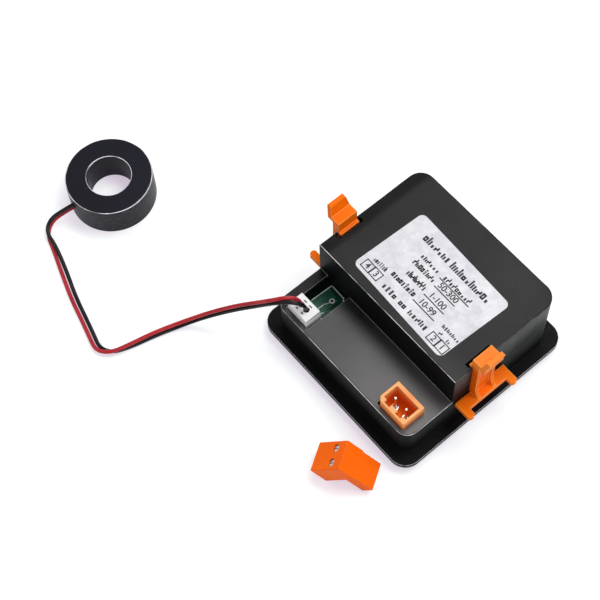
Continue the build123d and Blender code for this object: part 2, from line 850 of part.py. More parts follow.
# Current transformer case, closed on top and open below, with a slot for the leads
exit_angle = radians(lead_exit)
exit_plane = Plane(
    origin=(ct_at[0], ct_at[1], lead_slot_z),
    x_dir=(-sin(exit_angle), cos(exit_angle), 0),
    z_dir=(cos(exit_angle), sin(exit_angle), 0),
)
with BuildPart() as ct_case:
    with BuildSketch():
        with Locations(ct_at):
            Circle(ct_r)
            Circle(ct_bore_r, mode=Mode.SUBTRACT)
    extrude(amount=ct_h)
    fillet(ct_case.faces().sort_by(Axis.Z)[-1].edges(), ct_edge_r)
    with BuildSketch():
        with Locations(ct_at):
            Circle(ct_r - ct_wall)
            Circle(ct_bore_r + ct_wall, mode=Mode.SUBTRACT)
    extrude(amount=ct_h - ct_wall, mode=Mode.SUBTRACT)
    with BuildSketch(exit_plane.offset(ct_r - 1.5 * ct_wall)):
        Rectangle(lead_slot_w, lead_slot_h)
    extrude(amount=2 * ct_wall, mode=Mode.SUBTRACT)
ct_case.part.label = "ct_case"
export_step(ct_case.part, "parts/ct_case.step")

# Potting that closes the case
with BuildPart() as ct_potting:
    with BuildSketch(Plane.XY.offset(ct_fill_recess)):
        with Locations(ct_at):
            Circle(ct_r - ct_wall)
            Circle(ct_bore_r + ct_wall, mode=Mode.SUBTRACT)
    extrude(amount=ct_fill_t)
ct_potting.part.label = "ct_potting"
export_step(ct_potting.part, "parts/ct_potting.step")

# Winding, a closed ring around the core, resting on the potting
winding_low = ct_fill_recess + ct_fill_t
with BuildPart() as ct_winding:
    with BuildSketch(Plane.XY.offset(winding_low)):
        with Locations(ct_at):
            Circle(ct_core_r + ct_winding_t)
            Circle(ct_core_bore_r - ct_winding_t, mode=Mode.SUBTRACT)
    extrude(amount=ct_core_h + 2 * ct_winding_t)
    fillet(ct_winding.edges().filter_by(GeomType.CIRCLE), ct_winding_t / 2)
    with BuildSketch(Plane.XY.offset(winding_low + ct_winding_t)):
        with Locations(ct_at):
            Circle(ct_core_r)
            Circle(ct_core_bore_r, mode=Mode.SUBTRACT)
    extrude(amount=ct_core_h, mode=Mode.SUBTRACT)
ct_winding.part.label = "ct_winding"
export_step(ct_winding.part, "parts/ct_winding.step")

# Core inside the winding
with BuildPart() as ct_core:
    with BuildSketch(Plane.XY.offset(winding_low + ct_winding_t)):
        with Locations(ct_at):
            Circle(ct_core_r)
            Circle(ct_core_bore_r, mode=Mode.SUBTRACT)
    extrude(amount=ct_core_h)
ct_core.part.label = "ct_core"
export_step(ct_core.part, "parts/ct_core.step")


def bend_radii(route):
    """A bend radius for each inner point that leaves a short straight on both sides."""
    radii = []
    for before, corner, after in zip(route, route[1:], route[2:]):
        run_in = Vector(*corner) - Vector(*before)
        run_out = Vector(*after) - Vector(*corner)
        half_turn = radians(run_in.get_angle(run_out)) / 2
        radii.append(0.45 * min(run_in.length, run_out.length) / tan(half_turn))
    return radii


def make_lead(name, route):
    """A round insulated lead along its route."""
    radii = bend_radii(route)
    with BuildPart() as lead:
        with BuildLine():
            course = FilletPolyline(*route, radius=radii)
        with BuildSketch(Plane(origin=course @ 0, z_dir=course % 0)):
            Circle(wire_d / 2)
        sweep()
    length = course.length
    tube = 3.14159265 * wire_d**2 / 4 * length
    print(name, "length", round(length, 1), "smallest bend", round(min(radii), 2))
    print("  radii", [round(radius, 1) for radius in radii])
    print("  volume over section times length", round(lead.part.volume / tube, 4))
    return lead.part


# Leads
red_lead = make_lead("red_lead", red_route)
red_lead.label = "red_lead"
export_step(red_lead, "parts/red_lead.step")
black_lead = make_lead("black_lead", black_route)
black_lead.label = "black_lead"
export_step(black_lead, "parts/black_lead.step")

# Directions of the angled plug: along its arm, down its tongue and across both
plug_lean = atan2(tongue_l, arm_l - tongue_t)
heading = radians(plug_heading)
along_arm = Vector(
    cos(heading) * cos(plug_lean), sin(heading) * cos(plug_lean), -sin(plug_lean)
)
down_tongue = Vector(
    -cos(heading) * sin(plug_lean), -sin(heading) * sin(plug_lean), -cos(plug_lean)
)
across = along_arm.cross(down_tongue)
plug_high = arm_l * sin(plug_lean) + arm_t * cos(plug_lean)
plug_origin = Vector(plug_apex[0], plug_apex[1], plug_high)
side_plane = Plane(origin=plug_origin, x_dir=along_arm, z_dir=across)
poles = (-pitch / 2, pitch / 2)

# Depths inside the plug, measured from its top face
head_v = well_t - terminal_fit
chamber_v = well_t + web_t
cage_h = cage_cap_t + cage_window_t + cage_foot_t
chamber_h = cage_h + cage_travel + 2 * cage_play
cage_v = chamber_v + cage_play + cage_travel
bar_v = cage_v + cage_cap_t + cage_play
tongue_end = arm_t + tongue_l
contact_v = tongue_end - contact_end - contact_l
contact_mid = strip_u + contact_w / 2
entry_mid = chamber_v + chamber_h - entry_t / 2


def plug_level(depth):
    """Plane across the screw axes at a depth; X along the arm, Y across."""
    return Plane(
        origin=plug_origin + down_tongue * depth, x_dir=along_arm, z_dir=down_tongue
    )


def plug_section(reach):
    """Plane across the arm at a distance from the tongue's outer face; X across, Y down."""
    return Plane(origin=plug_origin + along_arm * reach, x_dir=-across, z_dir=along_arm)


# Terminal plug body
with BuildPart() as terminal_plug:
    with BuildSketch(side_plane):
        Rectangle(arm_l, arm_t, align=(Align.MIN, Align.MIN))
    extrude(amount=plug_w / 2, both=True)
    arm_foot = side_plane.from_local_coords((arm_l, arm_t, 0))
    soft_edges = terminal_plug.edges().filter_by(
        lambda e: (e.center() - arm_foot).length > 0.1
    )
    fillet(soft_edges, plug_edge_r)
    with BuildSketch(side_plane):
        with Locations((0, arm_t - 2 * plug_edge_r)):
            Rectangle(
                tongue_t, tongue_l + 2 * plug_edge_r, align=(Align.MIN, Align.MIN)
            )
    extrude(amount=tongue_w / 2, both=True)
    for pole in poles:
        with BuildSketch(side_plane.offset(pole)):
            with Locations((tongue_t - plug_edge_r, arm_t - plug_edge_r)):
                Rectangle(
                    rib_h + plug_edge_r,
                    tongue_l - rib_short + plug_edge_r,
                    align=(Align.MIN, Align.MIN),
                )
        extrude(amount=rib_w / 2, both=True)
    # screw wells, clamp chambers and the hollows of the tongue with a hole for each pin
    for pole in poles:
        with BuildSketch(plug_level(0)):
            with Locations((well_u, pole)):
                Circle(well_r)
        extrude(amount=well_t, mode=Mode.SUBTRACT)
        with BuildSketch(plug_level(0)):
            with Locations((well_u, pole)):
                Circle(terminal_thread_r + terminal_fit)
        extrude(amount=chamber_v + cage_play, mode=Mode.SUBTRACT)
        with BuildSketch(plug_level(chamber_v)):
            with Locations((well_u, pole)):
                Rectangle(cage_u + 2 * cage_play, cage_w + 2 * cage_play)
        extrude(amount=chamber_h, mode=Mode.SUBTRACT)
        with BuildSketch(plug_level(bar_v - contact_fit)):
            with Locations((contact_mid, pole)):
                Rectangle(contact_w + 2 * contact_fit, contact_w + 2 * contact_fit)
        extrude(amount=tongue_end - contact_end - bar_v + contact_fit, mode=Mode.SUBTRACT)
        with BuildSketch(plug_level(tongue_end - 2 * contact_end)):
            with Locations((contact_mid, pole)):
                Rectangle(pin_entry_w, pin_entry_w)
        extrude(amount=3 * contact_end, mode=Mode.SUBTRACT)
        with BuildSketch(plug_section(arm_l)):
            with Locations((pole, entry_mid)):
                Rectangle(entry_w, entry_t)
        extrude(amount=-(arm_l - well_u), mode=Mode.SUBTRACT)
    # pole marks
    with BuildSketch(plug_section(0)):
        with Locations(*[(mark, mark_v) for mark in marks]):
            Rectangle(mark_l, mark_w)
    extrude(amount=mark_t, mode=Mode.SUBTRACT)
terminal_plug.part.label = "terminal_plug"
export_step(terminal_plug.part, "parts/terminal_plug.step")

# Contacts of the terminal plug: a bar under the screw, a strip and a box for the pin
with BuildPart() as terminal_contacts:
    for pole in poles:
        with BuildSketch(plug_level(bar_v)):
            with Locations(((strip_u + bar_end_u) / 2, pole)):
                Rectangle(bar_end_u - strip_u, bar_w)
        extrude(amount=bar_t)
        with BuildSketch(plug_level(bar_v)):
            with Locations((strip_u + bar_t / 2, pole)):
                Rectangle(bar_t, bar_w)
        extrude(amount=contact_v - bar_v + contact_wall)
        with BuildSketch(plug_level(contact_v)):
            with Locations((contact_mid, pole)):
                Rectangle(contact_w, contact_w)
                bore_w = contact_w - 2 * contact_wall
                Rectangle(bore_w, bore_w, mode=Mode.SUBTRACT)
        extrude(amount=contact_l)
terminal_contacts.part.label = "terminal_contacts"
export_step(terminal_contacts.part, "parts/terminal_contacts.step")


def make_terminal_screw(pole):
    """A slotted clamp screw, its head low in the well of the plug."""
    with BuildPart() as screw:
        with BuildSketch(plug_level(head_v)):
            with Locations((well_u, pole)):
                Circle(terminal_head_r)
        extrude(amount=-terminal_head_t)
        with BuildSketch(plug_level(head_v)):
            with Locations((well_u, pole)):
                Circle(terminal_thread_r)
        extrude(amount=bar_v - cage_play - head_v)
        with BuildSketch(plug_level(head_v - terminal_head_t)):
            with Locations((well_u, pole)):
                Rectangle(2 * terminal_head_r, terminal_slot_w)
        extrude(amount=terminal_slot_t, mode=Mode.SUBTRACT)
    return screw.part


def make_terminal_clamp(pole):
    """A cage that the screw pulls up against the contact bar."""
    with BuildPart() as clamp:
        with BuildSketch(plug_level(cage_v)):
            with Locations((well_u, pole)):
                Rectangle(cage_u, cage_w)
        extrude(amount=cage_h)
        with BuildSketch(plug_section(well_u)):
            with Locations((pole, cage_v + cage_cap_t + cage_window_t / 2)):
                Rectangle(cage_window_w, cage_window_t)
        extrude(amount=cage_u, both=True, mode=Mode.SUBTRACT)
        with BuildSketch(plug_level(cage_v)):
            with Locations((well_u, pole)):
                Circle(terminal_thread_r + terminal_fit)
        extrude(amount=cage_cap_t, mode=Mode.SUBTRACT)
    return clamp.part


# Clamp screws and cages
for number, pole in ((1, poles[0]), (2, poles[1])):
    terminal_screw = make_terminal_screw(pole)
    terminal_screw.label = f"terminal_screw_{number}"
    export_step(terminal_screw, f"parts/terminal_screw_{number}.step")
    terminal_clamp = make_terminal_clamp(pole)
    terminal_clamp.label = f"terminal_clamp_{number}"
    export_step(terminal_clamp, f"parts/terminal_clamp_{number}.step")
    axis_point = plug_level(0).from_local_coords((well_u, pole, 0))
    print("terminal screw", number, "axis at", axis_point, "along", down_tongue)
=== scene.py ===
"""Looks of a panel voltmeter and ammeter, lying face down with its ring transformer and its screw plug."""

import json
import math
import random

import bmesh
import bpy
from mathutils import Matrix, Vector


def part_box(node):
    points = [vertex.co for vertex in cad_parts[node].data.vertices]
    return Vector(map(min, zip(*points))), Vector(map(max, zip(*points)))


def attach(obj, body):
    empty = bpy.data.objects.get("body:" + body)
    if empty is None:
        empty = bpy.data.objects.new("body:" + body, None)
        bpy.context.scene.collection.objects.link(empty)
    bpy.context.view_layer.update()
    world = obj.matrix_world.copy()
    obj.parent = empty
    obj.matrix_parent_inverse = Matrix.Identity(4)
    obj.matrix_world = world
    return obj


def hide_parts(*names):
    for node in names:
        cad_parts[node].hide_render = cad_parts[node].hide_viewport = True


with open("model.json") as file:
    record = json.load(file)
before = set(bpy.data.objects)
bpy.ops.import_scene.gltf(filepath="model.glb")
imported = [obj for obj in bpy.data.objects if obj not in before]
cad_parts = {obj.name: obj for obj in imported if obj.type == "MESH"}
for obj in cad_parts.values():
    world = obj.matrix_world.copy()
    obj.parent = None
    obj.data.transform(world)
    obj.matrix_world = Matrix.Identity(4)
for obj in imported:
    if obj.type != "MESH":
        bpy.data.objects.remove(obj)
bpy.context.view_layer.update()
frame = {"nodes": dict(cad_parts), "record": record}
nodes = frame["nodes"]
scene = bpy.context.scene
MM = 0.001


def spot(x, y, z=0.0):
    """A point given in millimetres."""
    return Vector((x * MM, y * MM, z * MM))


# Camera
camera_azimuth = 53.39
camera_elevation = 63.66
camera_roll = -4.03
camera_distance = 507.26
camera_target = (-33.22, -20.84, 3.5)


def place_camera():
    az, el, roll = (math.radians(a) for a in (camera_azimuth, camera_elevation, camera_roll))
    back = Vector((math.sin(az) * math.cos(el), -math.cos(az) * math.cos(el), math.sin(el)))
    level = Vector((math.cos(az), math.sin(az), 0.0))
    rise = back.cross(level)
    right = math.cos(roll) * level + math.sin(roll) * rise
    up = -math.sin(roll) * level + math.cos(roll) * rise
    eye = spot(*camera_target) + back * camera_distance * MM
    data = bpy.data.cameras.new("camera")
    data.lens = 90.0
    data.sensor_width = 36.0
    data.clip_start = 0.01
    data.clip_end = 50.0
    camera = bpy.data.objects.new("camera", data)
    turn = Matrix((right, up, back)).transposed().to_4x4()
    camera.matrix_world = Matrix.Translation(eye) @ turn
    scene.collection.objects.link(camera)
    scene.camera = camera


place_camera()

# Node helpers
FLOAT, VECTOR = "NodeSocketFloat", "NodeSocketVector"


def join(tree, value, socket):
    tree.links.new(value, socket)


def put(tree, kind, into=None, **settings):
    """Adds a node. In into, a socket is linked, and a number or a colour is set."""
    node = tree.nodes.new(kind)
    for name, value in settings.items():
        setattr(node, name, value)
    for key, value in (into or {}).items():
        if isinstance(value, bpy.types.NodeSocket):
            tree.links.new(value, node.inputs[key])
        else:
            node.inputs[key].default_value = value
    return node


def new_group(name, inputs, outputs):
    """A node group with these number inputs and their defaults, and these outputs."""
    tree = bpy.data.node_groups.new(name, "ShaderNodeTree")
    for label, value in inputs:
        socket = tree.interface.new_socket(name=label, in_out="INPUT", socket_type=FLOAT)
        socket.default_value = value
    for label, kind in outputs:
        tree.interface.new_socket(name=label, in_out="OUTPUT", socket_type=kind)
    return tree, tree.nodes.new("NodeGroupInput").outputs, tree.nodes.new("NodeGroupOutput").inputs


def use(tree, group, **values):
    """Places a group in a material with its own values."""
    node = tree.nodes.new("ShaderNodeGroup")
    node.node_tree = group
    for name, value in values.items():
        node.inputs[name.capitalize()].default_value = value
    return node.outputs


def spread(tree, value, low, high, to_low, to_high, smooth=False):
    """Maps low to high onto to_low to to_high, and holds the ends."""
    return put(
        tree,
        "ShaderNodeMapRange",
        {"Value": value, "From Min": low, "From Max": high, "To Min": to_low, "To Max": to_high},
        interpolation_type="SMOOTHSTEP" if smooth else "LINEAR",
    ).outputs[0]


def reckon(tree, how, first, second=0.0):
    return put(tree, "ShaderNodeMath", {0: first, 1: second}, operation=how).outputs[0]


def times(tree, first, second):
    return reckon(tree, "MULTIPLY", first, second)


def blend_colours(tree, share, first, second):
    return put(tree, "ShaderNodeMix", {0: share, 6: first, 7: second}, data_type="RGBA").outputs[2]


def rest_place(tree):
    """A point's place on the object at rest, in metres. It stays the same at every pose."""
    return tree.nodes.new("ShaderNodeTexCoord").outputs["Object"]


def split_up(tree, vector):
    return put(tree, "ShaderNodeSeparateXYZ", {0: vector}).outputs


def face_tilt(tree):
    """The three directions of the way that a face looks."""
    return split_up(tree, tree.nodes.new("ShaderNodeNewGeometry").outputs["Normal"])


def noise(tree, place, scale, detail):
    return put(tree, "ShaderNodeTexNoise", {"Vector": place, "Scale": scale, "Detail": detail}).outputs[0]


def stretched(tree, place, factors):
    return put(tree, "ShaderNodeVectorMath", {0: place, 1: factors}, operation="MULTIPLY").outputs[0]


def distance_to(tree, place, point):
    return put(tree, "ShaderNodeVectorMath", {0: place, 1: point}, operation="DISTANCE").outputs["Value"]


def bumped(tree, height, strength, lift, normal=None):
    """A normal for a height of up to lift metres, on top of another normal where one is given."""
    into = {"Strength": strength, "Distance": lift, "Height": height}
    if normal is not None:
        into["Normal"] = normal
    return put(tree, "ShaderNodeBump", into).outputs[0]


def paint(red, green, blue):
    return (red, green, blue, 1.0)


# Shared effects


def make_soft_edges():
    """Slightly rounded edges: a mask of the edges, used for painted edge highlights and for gloss, and the
    normal that rounds them.
    """
    tree, given, out = new_group(
        "soft_edges", [("Radius", 0.0002), ("Reach", 0.2)], [("Edge", FLOAT), ("Rounded", VECTOR)]
    )
    bevel = put(tree, "ShaderNodeBevel", {"Radius": given["Radius"]}, samples=6).outputs[0]
    flat = tree.nodes.new("ShaderNodeNewGeometry").outputs["Normal"]
    alike = put(tree, "ShaderNodeVectorMath", {0: bevel, 1: flat}, operation="DOT_PRODUCT").outputs["Value"]
    away = reckon(tree, "SUBTRACT", 1.0, alike)
    share = reckon(tree, "DIVIDE", away, given["Reach"])
    join(tree, spread(tree, share, 0.05, 1.0, 0.0, 1.0, smooth=True), out["Edge"])
    join(tree, bevel, out["Rounded"])
    return tree


def make_painted_rim_highlights():
    """A mask of the rounded rims between level faces and upright walls, by the tilt of the face, broken up
    by noise; it places painted highlights on those rims.
    """
    tree, given, out = new_group("painted_rim_highlights", [("Low", 0.35), ("High", 0.92)], [("Rim", FLOAT)])
    tilt = face_tilt(tree)[2]
    low_end = reckon(tree, "ADD", given["Low"], 0.2)
    high_start = reckon(tree, "SUBTRACT", given["High"], 0.1)
    rising = spread(tree, tilt, given["Low"], low_end, 0.0, 1.0, smooth=True)
    ending = spread(tree, tilt, high_start, given["High"], 1.0, 0.0, smooth=True)
    line_breakup = spread(tree, noise(tree, rest_place(tree), 190.0, 3.0), 0.38, 0.56, 0.25, 1.0)
    join(tree, times(tree, times(tree, rising, ending), line_breakup), out["Rim"])
    return tree


def make_moulded_skin():
    """Skin of a moulded part: fine grain for the bump, slow patches for gloss, soft clouds for colour."""
    tree, given, out = new_group(
        "moulded_skin",
        [("Grain", 5200.0), ("Patch", 110.0), ("Flow", 0.25)],
        [("Height", FLOAT), ("Gloss", FLOAT), ("Cloud", FLOAT)],
    )
    place = rest_place(tree)
    fine = noise(tree, place, given["Grain"], 2.0)
    coarse = noise(tree, place, times(tree, given["Grain"], 0.31), 1.0)
    mixed = reckon(tree, "ADD", times(tree, fine, 0.65), times(tree, coarse, 0.35))
    flowing = {"Detail": 3.0, "Roughness": 0.6, "Distortion": given["Flow"]}
    patch = put(
        tree, "ShaderNodeTexNoise", {"Vector": place, "Scale": given["Patch"], **flowing}
    ).outputs[0]
    cloud = noise(tree, place, times(tree, given["Patch"], 0.43), 4.0)
    join(tree, mixed, out["Height"])
    join(tree, spread(tree, patch, 0.32, 0.68, 0.0, 1.0), out["Gloss"])
    join(tree, spread(tree, cloud, 0.3, 0.7, 0.0, 1.0), out["Cloud"])
    return tree


def make_drawn_metal():
    """Fine streaks of drawn or rolled metal, and soft stains."""
    tree, given, out = new_group(
        "drawn_metal", [("Streak", 900.0), ("Stain", 420.0)], [("Streaks", FLOAT), ("Stains", FLOAT)]
    )
    place = rest_place(tree)
    streak = noise(tree, stretched(tree, place, (1.0, 1.0, 0.08)), given["Streak"], 3.0)
    stain = noise(tree, place, given["Stain"], 3.0)
    join(tree, spread(tree, streak, 0.3, 0.7, 0.0, 1.0), out["Streaks"])
    join(tree, spread(tree, stain, 0.4, 0.7, 0.0, 1.0), out["Stains"])
    return tree


def make_fine_dust():
    """Sparse specks of dust, and faint rub marks."""
    tree, given, out = new_group(
        "fine_dust", [("Speck", 700.0), ("Rub", 160.0)], [("Specks", FLOAT), ("Rubs", FLOAT)]
    )
    place = rest_place(tree)
    cell = put(tree, "ShaderNodeTexVoronoi", {"Vector": place, "Scale": given["Speck"]}).outputs["Distance"]
    dot = spread(tree, cell, 0.06, 0.16, 1.0, 0.0)
    few = spread(tree, noise(tree, place, 140.0, 2.0), 0.54, 0.66, 0.0, 1.0)
    join(tree, times(tree, dot, few), out["Specks"])
    slant = put(
        tree, "ShaderNodeVectorRotate", {"Vector": place, "Angle": 0.7}, rotation_type="Z_AXIS"
    ).outputs[0]
    rub = noise(tree, stretched(tree, slant, (1.0, 14.0, 3.0)), given["Rub"], 3.0)
    join(tree, spread(tree, rub, 0.62, 0.72, 0.0, 1.0), out["Rubs"])
    return tree


soft_edges = make_soft_edges()
painted_rim_highlights = make_painted_rim_highlights()
moulded_skin = make_moulded_skin()
drawn_metal = make_drawn_metal()
fine_dust = make_fine_dust()

# Materials
dust_grey = paint(0.45, 0.44, 0.42)


def new_material(name, **plain):
    """A material with a Principled shader, whose even values are set on its own sockets."""
    material = bpy.data.materials.new(name)
    material.use_nodes = True
    tree = material.node_tree
    tree.nodes.clear()
    shader = tree.nodes.new("ShaderNodeBsdfPrincipled")
    put(tree, "ShaderNodeOutputMaterial", {0: shader.outputs[0]})
    for label, value in plain.items():
        shader.inputs[label.replace("_", " ")].default_value = value
    return material, tree, shader.inputs


def moulded(
    name, deep, pale, edge, smooth, rough, grain, lift, radius=0.00022, reach=0.2, dust=0.0, **plain
):
    """Moulded plastic: two tones in soft clouds, edges painted lighter as a highlight, patches of gloss,
    and the mould's grain.
    """
    material, tree, shader = new_material(name, **plain)
    skin = use(tree, moulded_skin, grain=grain)
    edges = use(tree, soft_edges, radius=radius, reach=reach)
    tone = blend_colours(tree, skin["Cloud"], deep, pale)
    # painted highlight: the edges turn toward the edge tone
    tone = blend_colours(tree, times(tree, edges["Edge"], 0.8), tone, edge)
    gloss = spread(tree, skin["Gloss"], 0.0, 1.0, smooth, rough)
    if dust:
        marks = use(tree, fine_dust)
        tone = blend_colours(tree, times(tree, marks["Specks"], dust), tone, dust_grey)
        gloss = reckon(tree, "ADD", gloss, times(tree, marks["Rubs"], 0.06))
    bump = bumped(tree, skin["Height"], 1.0, lift, edges["Rounded"])
    join(tree, tone, shader["Base Color"])
    join(tree, gloss, shader["Roughness"])
    join(tree, bump, shader["Normal"])
    made = {"skin": skin, "edges": edges, "tone": tone, "gloss": gloss, "bump": bump}
    return material, tree, shader, made


def metal(name, bright, dull, smooth, rough, radius=0.0001, streak=900.0):
    """Metal with drawn streaks, soft stains and bright edges."""
    material, tree, shader = new_material(name, Metallic=1.0)
    drawn = use(tree, drawn_metal, streak=streak)
    edges = use(tree, soft_edges, radius=radius, reach=0.25)
    tone = blend_colours(tree, drawn["Stains"], bright, dull)
    gloss = spread(tree, drawn["Streaks"], 0.0, 1.0, smooth, rough)
    gloss = reckon(tree, "SUBTRACT", gloss, times(tree, edges["Edge"], 0.08))
    bump = bumped(tree, drawn["Streaks"], 0.8, 0.000004, edges["Rounded"])
    join(tree, tone, shader["Base Color"])
    join(tree, gloss, shader["Roughness"])
    join(tree, bump, shader["Normal"])
    return material, tree, shader, tone


def housing_finish():
    """Black housing: a sheen on the floor of the connector step, less on the raised box, dull elsewhere."""
    material, tree, shader, made = moulded(
        "housing_black",
        paint(0.0030, 0.0030, 0.0036),
        paint(0.0058, 0.0057, 0.0062),
        paint(0.020, 0.020, 0.022),
        0.42,
        0.56,
        4200.0,
        0.000012,
        radius=0.0003,
        reach=0.12,
        dust=0.08,
        Specular_IOR_Level=0.06,
        Coat_Roughness=0.36,
    )
    # bands in metres, from where an effect starts to where it is full or gone
    flange_to_step, step_to_box = (0.008, 0.014), (0.022, 0.030)
    step_edge_start, step_edge_end = (0.0168, 0.0178), (0.0194, 0.0202)
    flange_rim = (0.0342, 0.0346)
    left_margin, box_front, box_right = (-0.0285, -0.0265), (-0.0125, -0.0040), (0.0, 0.020)
    step_sheen_side = (-0.010, 0.026)

    across, along, level = split_up(tree, rest_place(tree))[:3]
    tilt = face_tilt(tree)
    flat = spread(tree, tilt[2], 0.9, 0.99, 0.0, 1.0)
    over_flange = spread(tree, level, *flange_to_step, 0.0, 1.0)
    over_step = spread(tree, level, *step_to_box, 0.0, 1.0)

    # painted highlights along the rims, but not along the right side of the box
    rims = use(tree, painted_rim_highlights, low=0.38, high=0.88)
    right = times(tree, spread(tree, tilt[0], 0.1, 0.4, 0.0, 0.85), over_step)
    rim = reckon(tree, "SUBTRACT", rims["Rim"], times(tree, right, rims["Rim"]))
    tone = blend_colours(tree, rim, made["tone"], paint(0.78, 0.78, 0.80))

    # painted highlights: thin pale lines along the flange's outer edge and the step
    outward = reckon(tree, "MAXIMUM", reckon(tree, "ABSOLUTE", across), reckon(tree, "ABSOLUTE", along))
    flange_edge = spread(tree, outward, *flange_rim, 0.0, 1.0)
    step_edge = times(
        tree,
        spread(tree, level, *step_edge_start, 0.0, 0.45),
        spread(tree, level, *step_edge_end, 1.0, 0.0),
    )
    lines = times(tree, made["edges"]["Edge"], reckon(tree, "MAXIMUM", flange_edge, step_edge))
    tone = blend_colours(tree, lines, tone, paint(0.80, 0.80, 0.82))

    # sheen of the level faces and of the right wall
    sheen = reckon(tree, "SUBTRACT", over_flange, times(tree, over_step, 0.71))
    sheen = times(tree, sheen, spread(tree, across, *left_margin, 0.25, 1.0))
    sheen = times(tree, sheen, spread(tree, made["skin"]["Cloud"], 0.0, 1.0, 0.8, 1.0))
    near_front = times(
        tree, spread(tree, along, *box_front, 0.14, 0.0), spread(tree, across, *box_right, 0.0, 1.0)
    )
    sheen = reckon(tree, "ADD", sheen, times(tree, over_step, near_front))
    right_wall = times(tree, spread(tree, tilt[0], 0.6, 0.9, 0.0, 0.30), over_step)

    # painted sheen: the floor of the step is lightened, more towards the right
    on_step = times(tree, reckon(tree, "SUBTRACT", over_flange, over_step), flat)
    painted_step_sheen = times(tree, on_step, spread(tree, across, *step_sheen_side, 0.0, 0.055))
    tone = blend_colours(tree, painted_step_sheen, tone, paint(0.92, 0.84, 0.80))
    join(tree, tone, shader["Base Color"])
    join(tree, reckon(tree, "ADD", times(tree, sheen, flat), right_wall), shader["Coat Weight"])
    return material


def bezel_finish():
    """Black bezel with painted highlights along its rims."""
    material, tree, shader, made = moulded(
        "bezel_black",
        paint(0.0026, 0.0026, 0.0030),
        paint(0.0052, 0.0052, 0.0056),
        paint(0.40, 0.40, 0.42),
        0.30,
        0.42,
        3600.0,
        0.000008,
        radius=0.0003,
        reach=0.12,
        dust=0.06,
        Specular_IOR_Level=0.2,
    )
    rims = use(tree, painted_rim_highlights, low=0.40, high=0.90)
    tone = blend_colours(tree, rims["Rim"], made["tone"], paint(0.80, 0.80, 0.82))
    join(tree, tone, shader["Base Color"])
    return material


def window_finish():
    """Smoke-tinted window over the displays."""
    material, tree, shader = new_material(
        "window_smoke", IOR=1.49, Transmission_Weight=0.9, Metallic=0.0, Specular_IOR_Level=0.5
    )
    skin = use(tree, moulded_skin, grain=900.0, patch=60.0)
    edges = use(tree, soft_edges, radius=0.0002)
    tone = blend_colours(tree, skin["Cloud"], paint(0.16, 0.05, 0.045), paint(0.20, 0.065, 0.055))
    # painted highlight: the window's edges turn paler
    join(tree, blend_colours(tree, edges["Edge"], tone, paint(0.35, 0.15, 0.13)), shader["Base Color"])
    join(tree, spread(tree, skin["Gloss"], 0.0, 1.0, 0.03, 0.09), shader["Roughness"])
    join(tree, edges["Rounded"], shader["Normal"])
    return material


def display_finish():
    """Grey face of the light displays."""
    return moulded(
        "display_grey",
        paint(0.030, 0.031, 0.034),
        paint(0.042, 0.043, 0.046),
        paint(0.12, 0.12, 0.125),
        0.35,
        0.48,
        5200.0,
        0.000006,
        radius=0.0002,
    )[0]


def board_finish():
    """Green solder mask over faint copper, painted shade beyond the printed outline where the housing
    shades it, on a brown-edged board.
    """
    material, tree, shader = new_material("board_green", Coat_Roughness=0.12, Specular_IOR_Level=0.12)
    outline_left, outline_back = (-0.0274, -0.0270), (-0.0121, -0.0117)
    skin = use(tree, moulded_skin, grain=2600.0, patch=260.0)
    edges = use(tree, soft_edges, radius=0.0002)
    place = rest_place(tree)
    mesh_lines = put(
        tree,
        "ShaderNodeTexBrick",
        {"Vector": place, "Scale": 420.0, "Mortar Size": 0.018, "Mortar Smooth": 0.3},
    ).outputs[1]
    weave = put(tree, "ShaderNodeTexWave", {"Vector": place, "Scale": 700.0, "Distortion": 0.4}).outputs[1]
    tone = blend_colours(tree, skin["Cloud"], paint(0.004, 0.045, 0.022), paint(0.009, 0.075, 0.038))
    tone = blend_colours(tree, times(tree, mesh_lines, 0.35), tone, paint(0.020, 0.130, 0.066))
    where = split_up(tree, place)
    # painted shade: the board turns near-black beyond the printed outline, where the housing shades it
    bare = reckon(
        tree,
        "MAXIMUM",
        spread(tree, where[0], *outline_left, 1.0, 0.0),
        spread(tree, where[1], *outline_back, 0.0, 1.0),
    )
    tone = blend_colours(tree, times(tree, bare, 0.85), tone, paint(0.003, 0.006, 0.005))
    rim = spread(tree, reckon(tree, "ABSOLUTE", face_tilt(tree)[2]), 0.4, 0.8, 1.0, 0.0)
    tone = blend_colours(tree, rim, tone, paint(0.16, 0.14, 0.07))
    height = reckon(tree, "ADD", times(tree, weave, 0.3), times(tree, mesh_lines, 0.7))
    bump = bumped(tree, height, 0.6, 0.00002, edges["Rounded"])
    join(tree, tone, shader["Base Color"])
    join(tree, spread(tree, skin["Gloss"], 0.0, 1.0, 0.34, 0.48), shader["Roughness"])
    join(tree, spread(tree, rim, 0.0, 1.0, 0.06, 0.0), shader["Coat Weight"])
    join(tree, bump, shader["Normal"])
    return material


